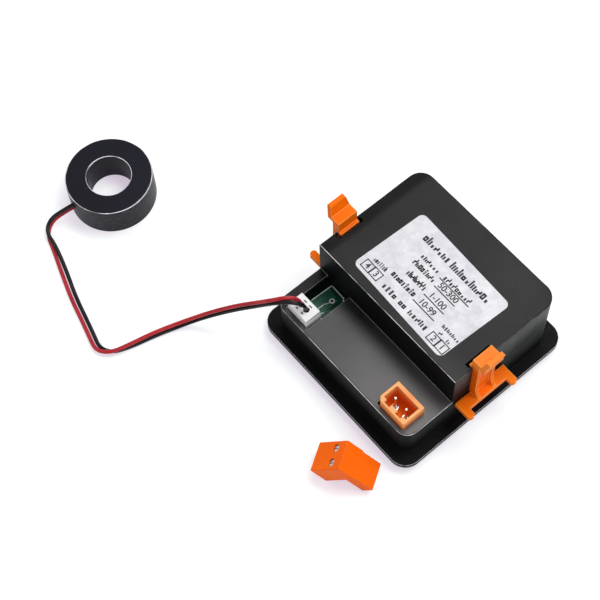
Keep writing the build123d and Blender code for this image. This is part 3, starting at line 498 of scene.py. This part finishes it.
def orange_finish():
    """Orange nylon of the clips, the header and the screw plug.

    The header's upper rim has a painted pale highlight, the head of the right clip is painted lighter as if
    more lit, and the plug is redder.
    """
    material, tree, shader, made = moulded(
        "orange_plastic",
        paint(0.850, 0.112, 0.0003),
        paint(0.950, 0.195, 0.0008),
        paint(1.000, 0.600, 0.170),
        0.42,
        0.56,
        3800.0,
        0.000010,
        radius=0.00038,
        reach=0.10,
        Specular_IOR_Level=0.08,
    )
    # bands in metres, from where an effect starts to where it is full or gone
    header_middle, header_reach = (0.0225, -0.0258, 0.0225), (0.0080, 0.0092)
    header_rise, right_side = (0.0188, 0.0222), (0.0280, 0.0300)
    clip_head, plug_end = (0.0330, 0.0375), (-0.0390, -0.0380)

    cloud = made["skin"]["Cloud"]
    place = rest_place(tree)
    where = split_up(tree, place)
    # painted highlight: the header's upper rim turns pale, in patches
    near = spread(tree, distance_to(tree, place, header_middle), *header_reach, 1.0, 0.0)
    high = spread(tree, where[2], *header_rise, 0.15, 1.0)
    rim_patches = spread(tree, cloud, 0.25, 0.75, 0.30, 0.85)
    pale = times(tree, times(tree, near, high), rim_patches)
    tone = blend_colours(tree, pale, made["tone"], paint(0.90, 0.50, 0.22))
    # painted light: the head of the right clip is lighter
    on_right = spread(tree, where[0], *right_side, 0.0, 0.34)
    head = times(tree, on_right, spread(tree, where[2], *clip_head, 0.0, 1.0))
    tone = blend_colours(tree, head, tone, paint(0.95, 0.40, 0.08))
    on_plug = spread(tree, where[1], *plug_end, 0.80, 0.0)
    redder = blend_colours(tree, cloud, paint(0.880, 0.095, 0.0002), paint(0.960, 0.135, 0.0005))
    join(tree, blend_colours(tree, on_plug, tone, redder), shader["Base Color"])
    return material


def socket_finish():
    """White nylon, a little see-through."""
    return moulded(
        "socket_white",
        paint(0.700, 0.700, 0.690),
        paint(0.800, 0.800, 0.795),
        paint(0.900, 0.900, 0.900),
        0.30,
        0.42,
        3800.0,
        0.000008,
        radius=0.00018,
        Subsurface_Weight=0.12,
        Subsurface_Scale=0.0005,
    )[0]


def label_finish():
    """Silver foil: rolled grain, slow waves where it sits on the box, slightly mottled."""
    material, tree, shader = new_material("label_silver", Specular_IOR_Level=0.5, Coat_Roughness=0.2)
    place = rest_place(tree)
    skin = use(tree, moulded_skin, grain=3000.0, patch=330.0)
    edges = use(tree, soft_edges, radius=0.00012)
    rolled = noise(tree, stretched(tree, place, (1.0, 22.0, 1.0)), 260.0, 3.0)
    waves = noise(tree, place, 75.0, 1.0)
    tone = blend_colours(tree, skin["Gloss"], paint(0.500, 0.500, 0.530), paint(0.640, 0.640, 0.665))
    # painted highlight: the label's edges turn pale
    tone = blend_colours(tree, edges["Edge"], tone, paint(0.88, 0.88, 0.90))
    height = reckon(tree, "ADD", times(tree, rolled, 0.06), waves)
    bump = bumped(tree, height, 0.5, 0.00022, edges["Rounded"])
    join(tree, tone, shader["Base Color"])
    join(tree, spread(tree, rolled, 0.3, 0.7, 0.40, 0.52), shader["Roughness"])
    join(tree, spread(tree, skin["Cloud"], 0.0, 1.0, 0.04, 0.12), shader["Metallic"])
    join(tree, bump, shader["Normal"])
    return material


def ring_finish():
    """Black epoxy-filled ring case: glossy bluish faces, a duller side that is mottled outside, with few
    marks in the bore as painted shade.
    """
    material, tree, shader, made = moulded(
        "ct_black",
        paint(0.0028, 0.0026, 0.0060),
        paint(0.0060, 0.0055, 0.0120),
        paint(0.70, 0.70, 0.74),
        0.10,
        0.18,
        2600.0,
        0.000006,
        radius=0.00030,
        reach=0.16,
        dust=0.04,
        Specular_IOR_Level=0.10,
        Coat_Roughness=0.14,
    )
    middle = tuple((low + high) / 2 for low, high in zip(*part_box("ct_case")))
    past_bore = (0.0100, 0.0112)
    side = spread(tree, reckon(tree, "ABSOLUTE", face_tilt(tree)[2]), 0.3, 0.8, 1.0, 0.0)
    place = rest_place(tree)
    # painted shade: the pale marks mostly fall away inside the bore
    outside = spread(tree, distance_to(tree, place, middle), *past_bore, 0.12, 1.0)
    blotch = spread(tree, noise(tree, place, 620.0, 3.0), 0.45, 0.68, 0.0, 1.0)
    marks = times(tree, blotch, times(tree, side, outside))
    tone = blend_colours(tree, times(tree, marks, 0.5), made["tone"], paint(0.034, 0.031, 0.048))
    # painted highlights along the rims of the ring
    rims = use(tree, painted_rim_highlights, low=0.42, high=0.93)
    tone = blend_colours(tree, rims["Rim"], tone, paint(0.92, 0.92, 0.95))
    bump = bumped(tree, marks, 0.7, 0.00006, made["bump"])
    join(tree, tone, shader["Base Color"])
    join(tree, reckon(tree, "ADD", made["gloss"], times(tree, side, 0.36)), shader["Roughness"])
    join(tree, spread(tree, side, 0.0, 1.0, 0.50, 0.14), shader["Coat Weight"])
    join(tree, bump, shader["Normal"])
    return material


def lead_finish(name, deep, pale, painted_shine):
    """Soft vinyl on a stranded lead, with a painted highlight in streaks."""
    material, tree, shader = new_material(name, Coat_Roughness=0.1, Specular_IOR_Level=0.16)
    skin = use(tree, moulded_skin, grain=2600.0, patch=240.0)
    marks = use(tree, fine_dust, speck=900.0)
    tone = blend_colours(tree, skin["Cloud"], deep, pale)
    # painted highlight: streaks of the lead turn toward the lighter tone
    tone = blend_colours(tree, times(tree, marks["Rubs"], 0.22), tone, painted_shine)
    join(tree, tone, shader["Base Color"])
    join(tree, spread(tree, skin["Gloss"], 0.0, 1.0, 0.18, 0.30), shader["Roughness"])
    join(tree, spread(tree, skin["Cloud"], 0.0, 1.0, 0.05, 0.16), shader["Coat Weight"])
    join(tree, bumped(tree, skin["Gloss"], 0.6, 0.00002), shader["Normal"])
    return material


def winding_finish():
    """Enamelled copper turns wound round the core, one every two degrees, with painted shade between turns
    and a painted highlight on each turn.
    """
    material, tree, shader = new_material("winding_copper", Metallic=1.0)
    to_ring_middle = (0.1102, 0.04245, -0.006)
    turns_round = 560.0
    centred = put(
        tree, "ShaderNodeVectorMath", {0: rest_place(tree), 1: to_ring_middle}, operation="ADD"
    ).outputs[0]
    angle = put(
        tree, "ShaderNodeTexGradient", {"Vector": centred}, gradient_type="RADIAL"
    ).outputs[1]
    wave = reckon(tree, "ABSOLUTE", reckon(tree, "SINE", times(tree, angle, turns_round)))
    skin = use(tree, moulded_skin, grain=2600.0, patch=240.0)
    # painted shade in the gaps between turns and painted highlight on their crowns
    tone = blend_colours(tree, wave, paint(0.22, 0.050, 0.012), paint(0.72, 0.26, 0.09))
    join(tree, tone, shader["Base Color"])
    join(tree, spread(tree, skin["Gloss"], 0.0, 1.0, 0.2, 0.34), shader["Roughness"])
    join(tree, bumped(tree, wave, 0.8, 0.00006), shader["Normal"])
    return material


def can_finish():
    """Capacitor sleeve: dark sleeve with a pale stripe, bare aluminium on top."""
    material, tree, shader, bare = metal(
        "can_aluminium", paint(0.80, 0.80, 0.81), paint(0.62, 0.62, 0.64), 0.2, 0.34
    )
    tilt = face_tilt(tree)
    side = spread(tree, reckon(tree, "ABSOLUTE", tilt[2]), 0.5, 0.9, 1.0, 0.0)
    stripe = spread(tree, tilt[0], 0.72, 0.80, 0.0, 1.0, smooth=True)
    sleeve = blend_colours(tree, stripe, paint(0.010, 0.012, 0.030), paint(0.45, 0.46, 0.48))
    join(tree, blend_colours(tree, side, bare, sleeve), shader["Base Color"])
    join(tree, spread(tree, side, 0.0, 1.0, 1.0, 0.0), shader["Metallic"])
    return material


finishes = {
    "housing_black": housing_finish(),
    "bezel_black": bezel_finish(),
    "window_smoke": window_finish(),
    "display_grey": display_finish(),
    "board_green": board_finish(),
    "can_aluminium": can_finish(),
    "orange_plastic": orange_finish(),
    "socket_white": socket_finish(),
    "label_silver": label_finish(),
    "ct_black": ring_finish(),
    "winding_copper": winding_finish(),
    "lead_red": lead_finish(
        "lead_red", paint(0.33, 0.012, 0.018), paint(0.47, 0.024, 0.033), paint(0.70, 0.18, 0.19)
    ),
    "lead_black": lead_finish(
        "lead_black", paint(0.006, 0.005, 0.006), paint(0.011, 0.009, 0.010), paint(0.06, 0.050, 0.054)
    ),
}
# deep tone, pale tone, edge tone of the painted highlight, smooth and rough gloss, scale of the grain,
# depth of the grain
plain_plastics = {
    "film_yellow": ((0.60, 0.36, 0.03), (0.70, 0.44, 0.05), (0.80, 0.60, 0.2), 0.3, 0.42, 2600.0, 1e-5),
    "chip_black": ((0.012, 0.012, 0.012), (0.02, 0.02, 0.02), (0.07, 0.07, 0.07), 0.5, 0.62, 5200.0, 8e-6),
    "varistor_blue": ((0.01, 0.05, 0.30), (0.02, 0.08, 0.38), (0.1, 0.2, 0.5), 0.3, 0.45, 1800.0, 2e-5),
    "resistor_grey": ((0.10, 0.13, 0.12), (0.15, 0.18, 0.17), (0.3, 0.32, 0.3), 0.4, 0.55, 1800.0, 2e-5),
    "potting_black": (
        (0.01, 0.01, 0.011), (0.016, 0.016, 0.018), (0.05, 0.05, 0.05), 0.12, 0.3, 900.0, 3e-5
    ),
}
for name, (deep, pale, edge, *surface) in plain_plastics.items():
    finishes[name] = moulded(name, paint(*deep), paint(*pale), paint(*edge), *surface)[0]
# bright tone, dull tone, smooth and rough gloss, radius of the worn edge, scale of the streaks
plain_metals = {
    "screw_steel": ((0.74, 0.74, 0.75), (0.46, 0.45, 0.44), 0.16, 0.30, 0.00012, 1500.0),
    "tinned_metal": ((0.80, 0.79, 0.78), (0.56, 0.50, 0.46), 0.14, 0.28, 0.0001, 1200.0),
    "core_steel": ((0.46, 0.46, 0.48), (0.25, 0.24, 0.24), 0.3, 0.45, 0.0001, 2600.0),
}
for name, (bright, dull, *surface) in plain_metals.items():
    finishes[name] = metal(name, paint(*bright), paint(*dull), *surface)[0]

for part in frame["record"]["subparts"]:
    for place in nodes[part["node"]].material_slots:
        place.material = finishes[part["material_slot"]]

# Leads of the ring transformer
lead_d = 1.4
red_route = [
    (-112.548, -55.77, 4.3), (-113.5, -61.1, 3.9), (-114.4, -66.4, 2.0), (-111.6, -70.3, 0.8),
    (-105.6, -72.1, 0.75), (-96.8, -75.2, 0.75), (-86.3, -78.7, 0.72), (-77.2, -80.9, 0.75),
    (-70.4, -82.7, 0.8), (-64.6, -84.2, 1.5), (-60.35, -80.89, 2.25), (-58.66, -74.36, 2.3),
    (-56.66, -65.26, 2.3), (-54.43, -58.58, 2.5), (-51.37, -52.77, 4.6), (-46.87, -47.27, 9.2),
    (-40.42, -41.65, 16.11), (-34.14, -37.09, 22.02), (-29.95, -34.53, 26.56), (-26.8, -30.2, 27.8),
    (-24.45, -26.9, 24.6), (-24.45, -26.9, 20.0),
]
black_route = [
    (-112.548, -55.77, 5.9), (-113.5, -61.1, 5.5), (-114.6, -66.4, 3.8), (-112.0, -70.2, 2.5),
    (-105.8, -70.8, 2.0), (-96.2, -73.5, 0.9), (-85.8, -77.1, 0.72), (-76.8, -79.3, 0.75),
    (-70.2, -81.0, 0.72), (-64.9, -82.5, 0.7), (-60.65, -80.11, 0.72), (-58.31, -74.07, 0.7),
    (-56.2, -65.48, 0.72), (-53.93, -58.4, 0.8), (-50.99, -52.7, 2.9), (-46.43, -47.22, 7.3),
    (-40.26, -42.05, 13.9), (-33.93, -37.45, 20.2), (-29.34, -34.34, 25.1), (-24.6, -30.5, 28.0),
    (-21.95, -26.9, 24.6), (-21.95, -26.9, 20.0),
]


def lay_lead(name, route, node, finish):
    curve = bpy.data.curves.new(name, "CURVE")
    curve.dimensions = "3D"
    curve.bevel_depth = lead_d / 2 * MM
    curve.bevel_resolution = 6
    curve.resolution_u = 14
    curve.use_fill_caps = True
    spline = curve.splines.new("NURBS")
    spline.points.add(len(route) - 1)
    for point, place in zip(spline.points, route):
        point.co = (*spot(*place), 1.0)
    spline.order_u = 3
    spline.use_endpoint_u = True
    curve.materials.append(finishes[finish])
    lead = bpy.data.objects.new(name, curve)
    scene.collection.objects.link(lead)
    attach(lead, "meter")
    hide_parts(node)


lay_lead("red_lead_soft", red_route, "red_lead", "lead_red")
lay_lead("black_lead_soft", black_route, "black_lead", "lead_black")

# Thin printed and etched pieces


def film(bm, corners, place):
    """A flat patch through these corners, laid with a matrix that works in millimetres."""
    bm.faces.new([bm.verts.new((place @ Vector((x, y, 0.0))) * MM) for x, y in corners])


def bar(bm, place, x, y, wide, tall, turn=0.0):
    c, s = math.cos(turn), math.sin(turn)
    corners = [(-wide / 2, -tall / 2), (wide / 2, -tall / 2), (wide / 2, tall / 2), (-wide / 2, tall / 2)]
    film(bm, [(x + c * u - s * v, y + s * u + c * v) for u, v in corners], place)


def ruled(bm, place, points, wide):
    """A line of even width through points, with square joints."""
    for (x1, y1), (x2, y2) in zip(points, points[1:]):
        run = math.hypot(x2 - x1, y2 - y1)
        bar(bm, place, (x1 + x2) / 2, (y1 + y2) / 2, run + wide, wide, math.atan2(y2 - y1, x2 - x1))


def ringed(bm, place, x, y, inner, outer, steps=28):
    """A flat ring."""
    for step in range(steps):
        a, b = (2 * math.pi * (step + k) / steps for k in (0, 1))
        film(
            bm,
            [
                (x + inner * math.cos(a), y + inner * math.sin(a)),
                (x + outer * math.cos(a), y + outer * math.sin(a)),
                (x + outer * math.cos(b), y + outer * math.sin(b)),
                (x + inner * math.cos(b), y + inner * math.sin(b)),
            ],
            place,
        )


def figures(bm, place, text, x, y, tall, turn=0.0):
    """Plain numbers, centred on x and y, tall millimetres high."""
    figure_share, bolder = 0.7, 0.028
    curve = bpy.data.curves.new("figures", "FONT")
    curve.body = text
    curve.size = tall / figure_share
    curve.offset = bolder * tall
    curve.align_x = "CENTER"
    curve.align_y = "CENTER"
    shape = bpy.data.objects.new("figures", curve)
    mesh = bpy.data.meshes.new_from_object(shape)
    first = len(bm.verts)
    bm.from_mesh(mesh)
    bm.verts.ensure_lookup_table()
    move = place @ Matrix.Translation((x, y, 0.0)) @ Matrix.Rotation(turn, 4, "Z")
    for vert in bm.verts[first:]:
        vert.co = (move @ vert.co) * MM
    bpy.data.objects.remove(shape)
    bpy.data.curves.remove(curve)
    bpy.data.meshes.remove(mesh)


def make_piece(name, bm, material):
    """A flat piece on the meter's body, from a mesh in metres."""
    mesh = bpy.data.meshes.new(name)
    bm.normal_update()
    bm.to_mesh(mesh)
    bm.free()
    for face in mesh.polygons:
        face.use_smooth = False
    piece = bpy.data.objects.new(name, mesh)
    scene.collection.objects.link(piece)
    mesh.materials.append(material)
    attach(piece, "meter")


def ink_finish(name, deep, pale, rough):
    """A thin, slightly uneven coat: printing ink, traces, segments, and the dark films of painted shade."""
    material, tree, shader = new_material(name, Specular_IOR_Level=0.4)
    skin = use(tree, moulded_skin, grain=5200.0, patch=700.0)
    join(tree, blend_colours(tree, skin["Gloss"], deep, pale), shader["Base Color"])
    join(tree, spread(tree, skin["Cloud"], 0.0, 1.0, rough, rough + 0.15), shader["Roughness"])
    join(tree, bumped(tree, skin["Height"], 0.3, 5e-6), shader["Normal"])
    return material


label_ink = ink_finish("label_ink", paint(0.008, 0.008, 0.010), paint(0.030, 0.030, 0.034), 0.5)
board_ink = ink_finish("board_ink", paint(0.84, 0.86, 0.82), paint(0.96, 0.97, 0.95), 0.5)
painted_hole_shade = ink_finish("painted_hole_shade", paint(0.010, 0.009, 0.009), paint(0.030, 0.024, 0.022), 0.6)
trace_green = ink_finish("trace_green", paint(0.050, 0.250, 0.150), paint(0.070, 0.320, 0.200), 0.35)
segment_milk = ink_finish("segment_milk", paint(0.42, 0.38, 0.37), paint(0.50, 0.46, 0.44), 0.35)

label_centre = (2.0, 4.9)
label_top = 34.65
label_turn = -2.4
print_turn = math.radians(1.5)
print_lift = 0.012


def word_marks(bm, place, x, y, run, tall, letters, rng):
    """A row of small marks in the rhythm and weight of a printed word, with no letters in it."""
    pitch = run / letters
    thick = 0.22 * tall
    c, s = math.cos(print_turn), math.sin(print_turn)

    def stroke(along, level, wide, high):
        bar(bm, place, x + c * along - s * level, y + s * along + c * level, wide, high, print_turn)

    for n in range(letters):
        at = -run / 2 + (n + 0.5) * pitch
        high = tall * rng.choice((0.70, 0.70, 0.85, 1.0))
        foot = -tall / 2
        half = 0.25 * pitch
        kind = rng.choice(("pair", "frame", "step", "stack", "block"))
        if kind == "pair":
            stroke(at - half, foot + high / 2, thick, high)
            stroke(at + half, foot + 0.35 * high, thick, 0.7 * high)
        elif kind == "frame":
            for side in (-1, 1):
                stroke(at + side * half, foot + 0.4 * high, thick, 0.8 * high)
                stroke(at, foot + 0.4 * high + side * (0.4 * high - thick / 2), 2 * half, thick)
        elif kind == "step":
            stroke(at - half, foot + 0.25 * high, thick, 0.5 * high)
            stroke(at, foot + 0.5 * high, 2 * half + thick, thick)
            stroke(at + half, foot + 0.75 * high, thick, 0.5 * high)
        elif kind == "stack":
            for level in (0.12, 0.45, 0.78):
                stroke(at, foot + level * high, 2 * half, 1.2 * thick)
        else:
            stroke(at, foot + 0.3 * high, 2 * half, 0.6 * high)


def print_label():
    rng = random.Random(7)
    place = (
        Matrix.Translation((*label_centre, label_top + print_lift))
        @ Matrix.Rotation(math.radians(label_turn), 4, "Z")
    )
    title_tall, row_tall, bottom_tall, figure_tall = 2.9, 2.35, 2.5, 2.1
    underline_drop, underline_wide = 1.5, 0.4
    box_step, box_u, box_v, box_line = 1.95, 1.85, 1.6, 0.36
    bm = bmesh.new()
    # title row: x, y, length and number of marks
    for x, y, run, letters in ((-8.3, 9.7, 12.0, 7), (7.5, 9.9, 17.6, 10)):
        word_marks(bm, place, x, y, run, title_tall, letters, rng)
    # four rows: x, y, length and number of marks, then x, y, length and text of the underlined entry
    rows = [
        (-5.6, 4.7, 8.4, 6, 6.8, 5.1, 13.6, ""),
        (-4.8, 1.4, 9.8, 8, 5.9, 1.9, 9.6, "50-300"),
        (-3.8, -2.7, 8.6, 8, 6.0, -2.5, 9.4, "1-100"),
        (-5.4, -6.6, 10.6, 9, 5.6, -6.4, 10.0, "10-99"),
    ]
    for x, y, run, letters, to_x, to_y, to_run, entry in rows:
        word_marks(bm, place, x, y, run, row_tall, letters, rng)
        bar(bm, place, to_x, to_y - underline_drop, to_run, underline_wide, print_turn)
        if entry:
            figures(bm, place, entry, to_x, to_y + 0.1, figure_tall, print_turn)
        else:
            word_marks(bm, place, to_x, to_y, to_run * 0.9, figure_tall, 9, rng)
    # bottom row
    for x, y, run, letters in ((-6.2, -11.6, 6.4, 4), (0.0, -11.4, 3.2, 2), (7.2, -11.2, 8.6, 5)):
        word_marks(bm, place, x, y, run, bottom_tall, letters, rng)
    # terminal boxes with their numbers
    for centre_x, centre_y, numbers in ((-15.5, -11.5, "43"), (17.0, -11.7, "21")):
        for side, number in zip((-1, 1), numbers):
            x = centre_x + side * box_step
            y = centre_y + side * box_step * print_turn
            box = [(-box_u, -box_v), (box_u, -box_v), (box_u, box_v), (-box_u, box_v), (-box_u, -box_v)]
            ruled(bm, place, [(x + u, y + v) for u, v in box], box_line)
            figures(bm, place, number, x, y, figure_tall, print_turn)
    # over the boxes: x, y, length, height and number of marks
    over_boxes = [
        (-15.3, -8.0, 5.8, 1.8, 7),
        (17.2, -6.2, 7.6, 1.9, 7),
        (15.2, -8.7, 1.6, 1.8, 1),
        (18.8, -8.7, 1.6, 1.8, 1),
    ]
    for x, y, run, tall, letters in over_boxes:
        word_marks(bm, place, x, y, run, tall, letters, rng)
    make_piece("label_print", bm, label_ink)


print_label()


def etch_board():
    """Traces, printed outlines and a ringed hole, filled with a dark film of painted shade, on the part of
    the board that shows in the window.
    """
    board_top, trace_lift, print_over = 12.0, 0.015, 0.03
    top = Matrix.Translation((0.0, 0.0, board_top + trace_lift))
    upper = Matrix.Translation((0.0, 0.0, board_top + print_over))
    hole = (-22.58, -15.59)
    first_trace, trace_pitch, trace_count = -26.5, 0.62, 9
    lines = bmesh.new()
    for n in range(trace_count):
        x = first_trace + trace_pitch * n
        ruled(lines, top, [(x, -21.0), (x, -13.2 - 0.12 * n)], 0.2)
    ruled(lines, top, [(-20.9, -22.6), (-20.9, -19.2), (-19.6, -17.8)], 0.24)
    make_piece("board_traces", lines, trace_green)
    marks = bmesh.new()
    ruled(marks, upper, [(-27.2, -20.4), (-26.9, -11.9), (-20.7, -12.1)], 0.42)
    ruled(marks, upper, [(-28.2, -22.6), (-18.1, -22.6), (-18.1, -30.4)], 0.38)
    ruled(marks, upper, [(-19.4, -22.2), (-19.4, -18.9)], 0.38)
    ruled(marks, upper, [(-23.4, -20.9), (-23.4, -18.4), (-22.9, -17.4), (-22.62, -16.5)], 0.38)
    ruled(marks, upper, [(-21.9, -22.3), (-21.2, -20.6)], 0.26)
    ringed(marks, upper, *hole, 0.46, 0.98)
    for x, y in ((-20.0, -12.7), (-24.2, -21.3), (-22.6, -21.9)):
        bar(marks, upper, x, y, 0.9, 0.45)
    make_piece("board_print", marks, board_ink)
    # painted shade: a dark disc inside the ring stands for the hole
    dark = bmesh.new()
    ringed(dark, upper, *hole, 0.0, 0.44)
    make_piece("board_hole_shade", dark, painted_hole_shade)


def shade_hollows():
    """Painted shade: dark films over the mouths of the lead cavities in the transformer plug, with small
    bars beside them, and over the pin seats in the header.
    """
    plug_top, seat_level, lift = 21.6, 14.5, 0.012
    lead_xs, lead_y, lead_mouth = (-24.45, -21.95), -26.9, (0.86, 1.06)
    pin_xs, pin_y, pin_mouth = (19.96, 25.04), -25.6, (0.55, 0.92)
    latch_y, key_y = -28.75, -25.15
    plug_face = Matrix.Translation((0.0, 0.0, plug_top + lift))
    seat_face = Matrix.Translation((0.0, 0.0, seat_level + lift))
    bm = bmesh.new()
    for lead_x in lead_xs:
        ringed(bm, plug_face, lead_x, lead_y, *lead_mouth)
        bar(bm, plug_face, lead_x, latch_y, 0.9, 0.5)
        bar(bm, plug_face, lead_x, key_y, 1.3, 0.42)
    for pin_x in pin_xs:
        ringed(bm, seat_face, pin_x, pin_y, *pin_mouth)
    make_piece("mouth_shade_films", bm, painted_hole_shade)


etch_board()
shade_hollows()


def light_segments():
    """Three slanted seven-segment figures and their points on each display, unlit."""
    display_face, lift = 2.4, 0.02
    row_y, figure_pitch = 11.0, 12.2
    tall, wide, thick = 13.2, 6.9, 1.5
    dot_r, dot_gap, dot_sides = 0.75, 1.3, 18
    lean = math.tan(math.radians(8.0))
    upright_long = (tall - thick) / 2 - 0.5
    below = Matrix.Translation((0.0, 0.0, display_face - lift))
    bm = bmesh.new()

    def seg(cx, cy, x, y, long, upright):
        half, tip = long / 2, thick / 2
        right_half = [(half - tip, tip), (half, 0), (half - tip, -tip)]
        shape = [(-half, 0), (-half + tip, tip), *right_half, (-half + tip, -tip)]
        if upright:
            shape = [(-v, u) for u, v in shape]
        film(bm, [(cx - (x + u + (y + v) * lean), cy + y + v) for u, v in shape], below)

    def dot(x, y):
        turns = (2 * math.pi * k / dot_sides for k in range(dot_sides))
        film(bm, [(x + dot_r * math.cos(a), y + dot_r * math.sin(a)) for a in turns], below)

    for row in (row_y, -row_y):
        for digit in (-1, 0, 1):
            cx = -digit * figure_pitch
            for level in (-1, 0, 1):
                seg(cx, row, 0.0, level * (tall - thick) / 2, wide - 1.0, False)
            for side in (-1, 1):
                for level in (-1, 1):
                    x, y = side * (wide - thick) / 2, level * (tall - thick) / 4
                    seg(cx, row, x, y, upright_long, True)
            dot(cx - (wide / 2 + dot_gap - (tall / 2) * lean), row - tall / 2 + dot_r)
    make_piece("display_segments", bm, segment_milk)


light_segments()

# Table, background and lamps


def make_table():
    """Plain table. The camera sees it glow almost white, with the object's shadow on it."""
    material = bpy.data.materials.new("white_table")
    material.use_nodes = True
    tree = material.node_tree
    tree.nodes.clear()
    path = tree.nodes.new("ShaderNodeLightPath").outputs
    seen = reckon(tree, "MAXIMUM", path["Is Camera Ray"], path["Is Glossy Ray"])
    seen = reckon(tree, "MAXIMUM", seen, path["Is Transmission Ray"])
    plain = put(tree, "ShaderNodeBsdfDiffuse", {"Color": paint(0.80, 0.80, 0.80)}).outputs[0]
    shadow = put(tree, "ShaderNodeBsdfDiffuse", {"Color": paint(0.53, 0.65, 0.52)}).outputs[0]
    glow = put(
        tree, "ShaderNodeEmission", {"Color": paint(0.950, 0.800, 1.000), "Strength": 0.56}
    ).outputs[0]
    both = put(tree, "ShaderNodeAddShader", {0: shadow, 1: glow}).outputs[0]
    shown = put(tree, "ShaderNodeMixShader", {0: seen, 1: plain, 2: both}).outputs[0]
    put(tree, "ShaderNodeOutputMaterial", {0: shown})
    mesh = bpy.data.meshes.new("white_table")
    half = 4.0
    corners = [(-half, -half, 0.0), (half, -half, 0.0), (half, half, 0.0), (-half, half, 0.0)]
    mesh.from_pydata(corners, [], [(0, 1, 2, 3)])
    mesh.materials.append(material)
    table = bpy.data.objects.new("white_table", mesh)
    scene.collection.objects.link(table)


def make_world():
    """Soft room light. The camera sees white behind the table."""
    world = bpy.data.worlds.new("studio")
    world.use_nodes = True
    tree = world.node_tree
    tree.nodes.clear()
    path = tree.nodes.new("ShaderNodeLightPath").outputs
    seen = reckon(tree, "MAXIMUM", path["Is Camera Ray"], path["Is Transmission Ray"])
    room = put(
        tree, "ShaderNodeBackground", {"Color": paint(0.93, 0.95, 1.0), "Strength": 0.5}
    ).outputs[0]
    white = put(
        tree, "ShaderNodeBackground", {"Color": paint(1.0, 1.0, 1.0), "Strength": 1.0}
    ).outputs[0]
    shown = put(tree, "ShaderNodeMixShader", {0: seen, 1: room, 2: white}).outputs[0]
    put(tree, "ShaderNodeOutputWorld", {0: shown})
    scene.world = world


def hang_softbox(name, at, side, power, tint):
    """A square soft lamp that faces the object."""
    data = bpy.data.lights.new(name, "AREA")
    data.shape = "RECTANGLE"
    data.size = side
    data.size_y = side
    data.energy = power
    data.color = tint
    lamp = bpy.data.objects.new(name, data)
    lamp.location = at
    lamp.rotation_euler = (lamp_aim - Vector(at)).to_track_quat("-Z", "Y").to_euler()
    lamp.visible_camera = False
    scene.collection.objects.link(lamp)


make_table()
make_world()
lamp_aim = Vector((-0.03, -0.02, 0.02))
hang_softbox("overhead_softbox", (-0.36, 0.52, 1.55), 0.62, 7.0, (1.0, 0.985, 0.97))
hang_softbox("key_softbox", (0.26, 0.62, 1.38), 0.7, 10.5, (1.0, 0.99, 0.98))
hang_softbox("left_softbox", (-1.3, -0.5, 0.9), 0.8, 3.0, (0.97, 0.98, 1.0))
hang_softbox("right_softbox", (1.2, -0.4, 0.8), 0.8, 3.5, (1.0, 0.98, 0.96))

scene.view_settings.view_transform = "Standard"
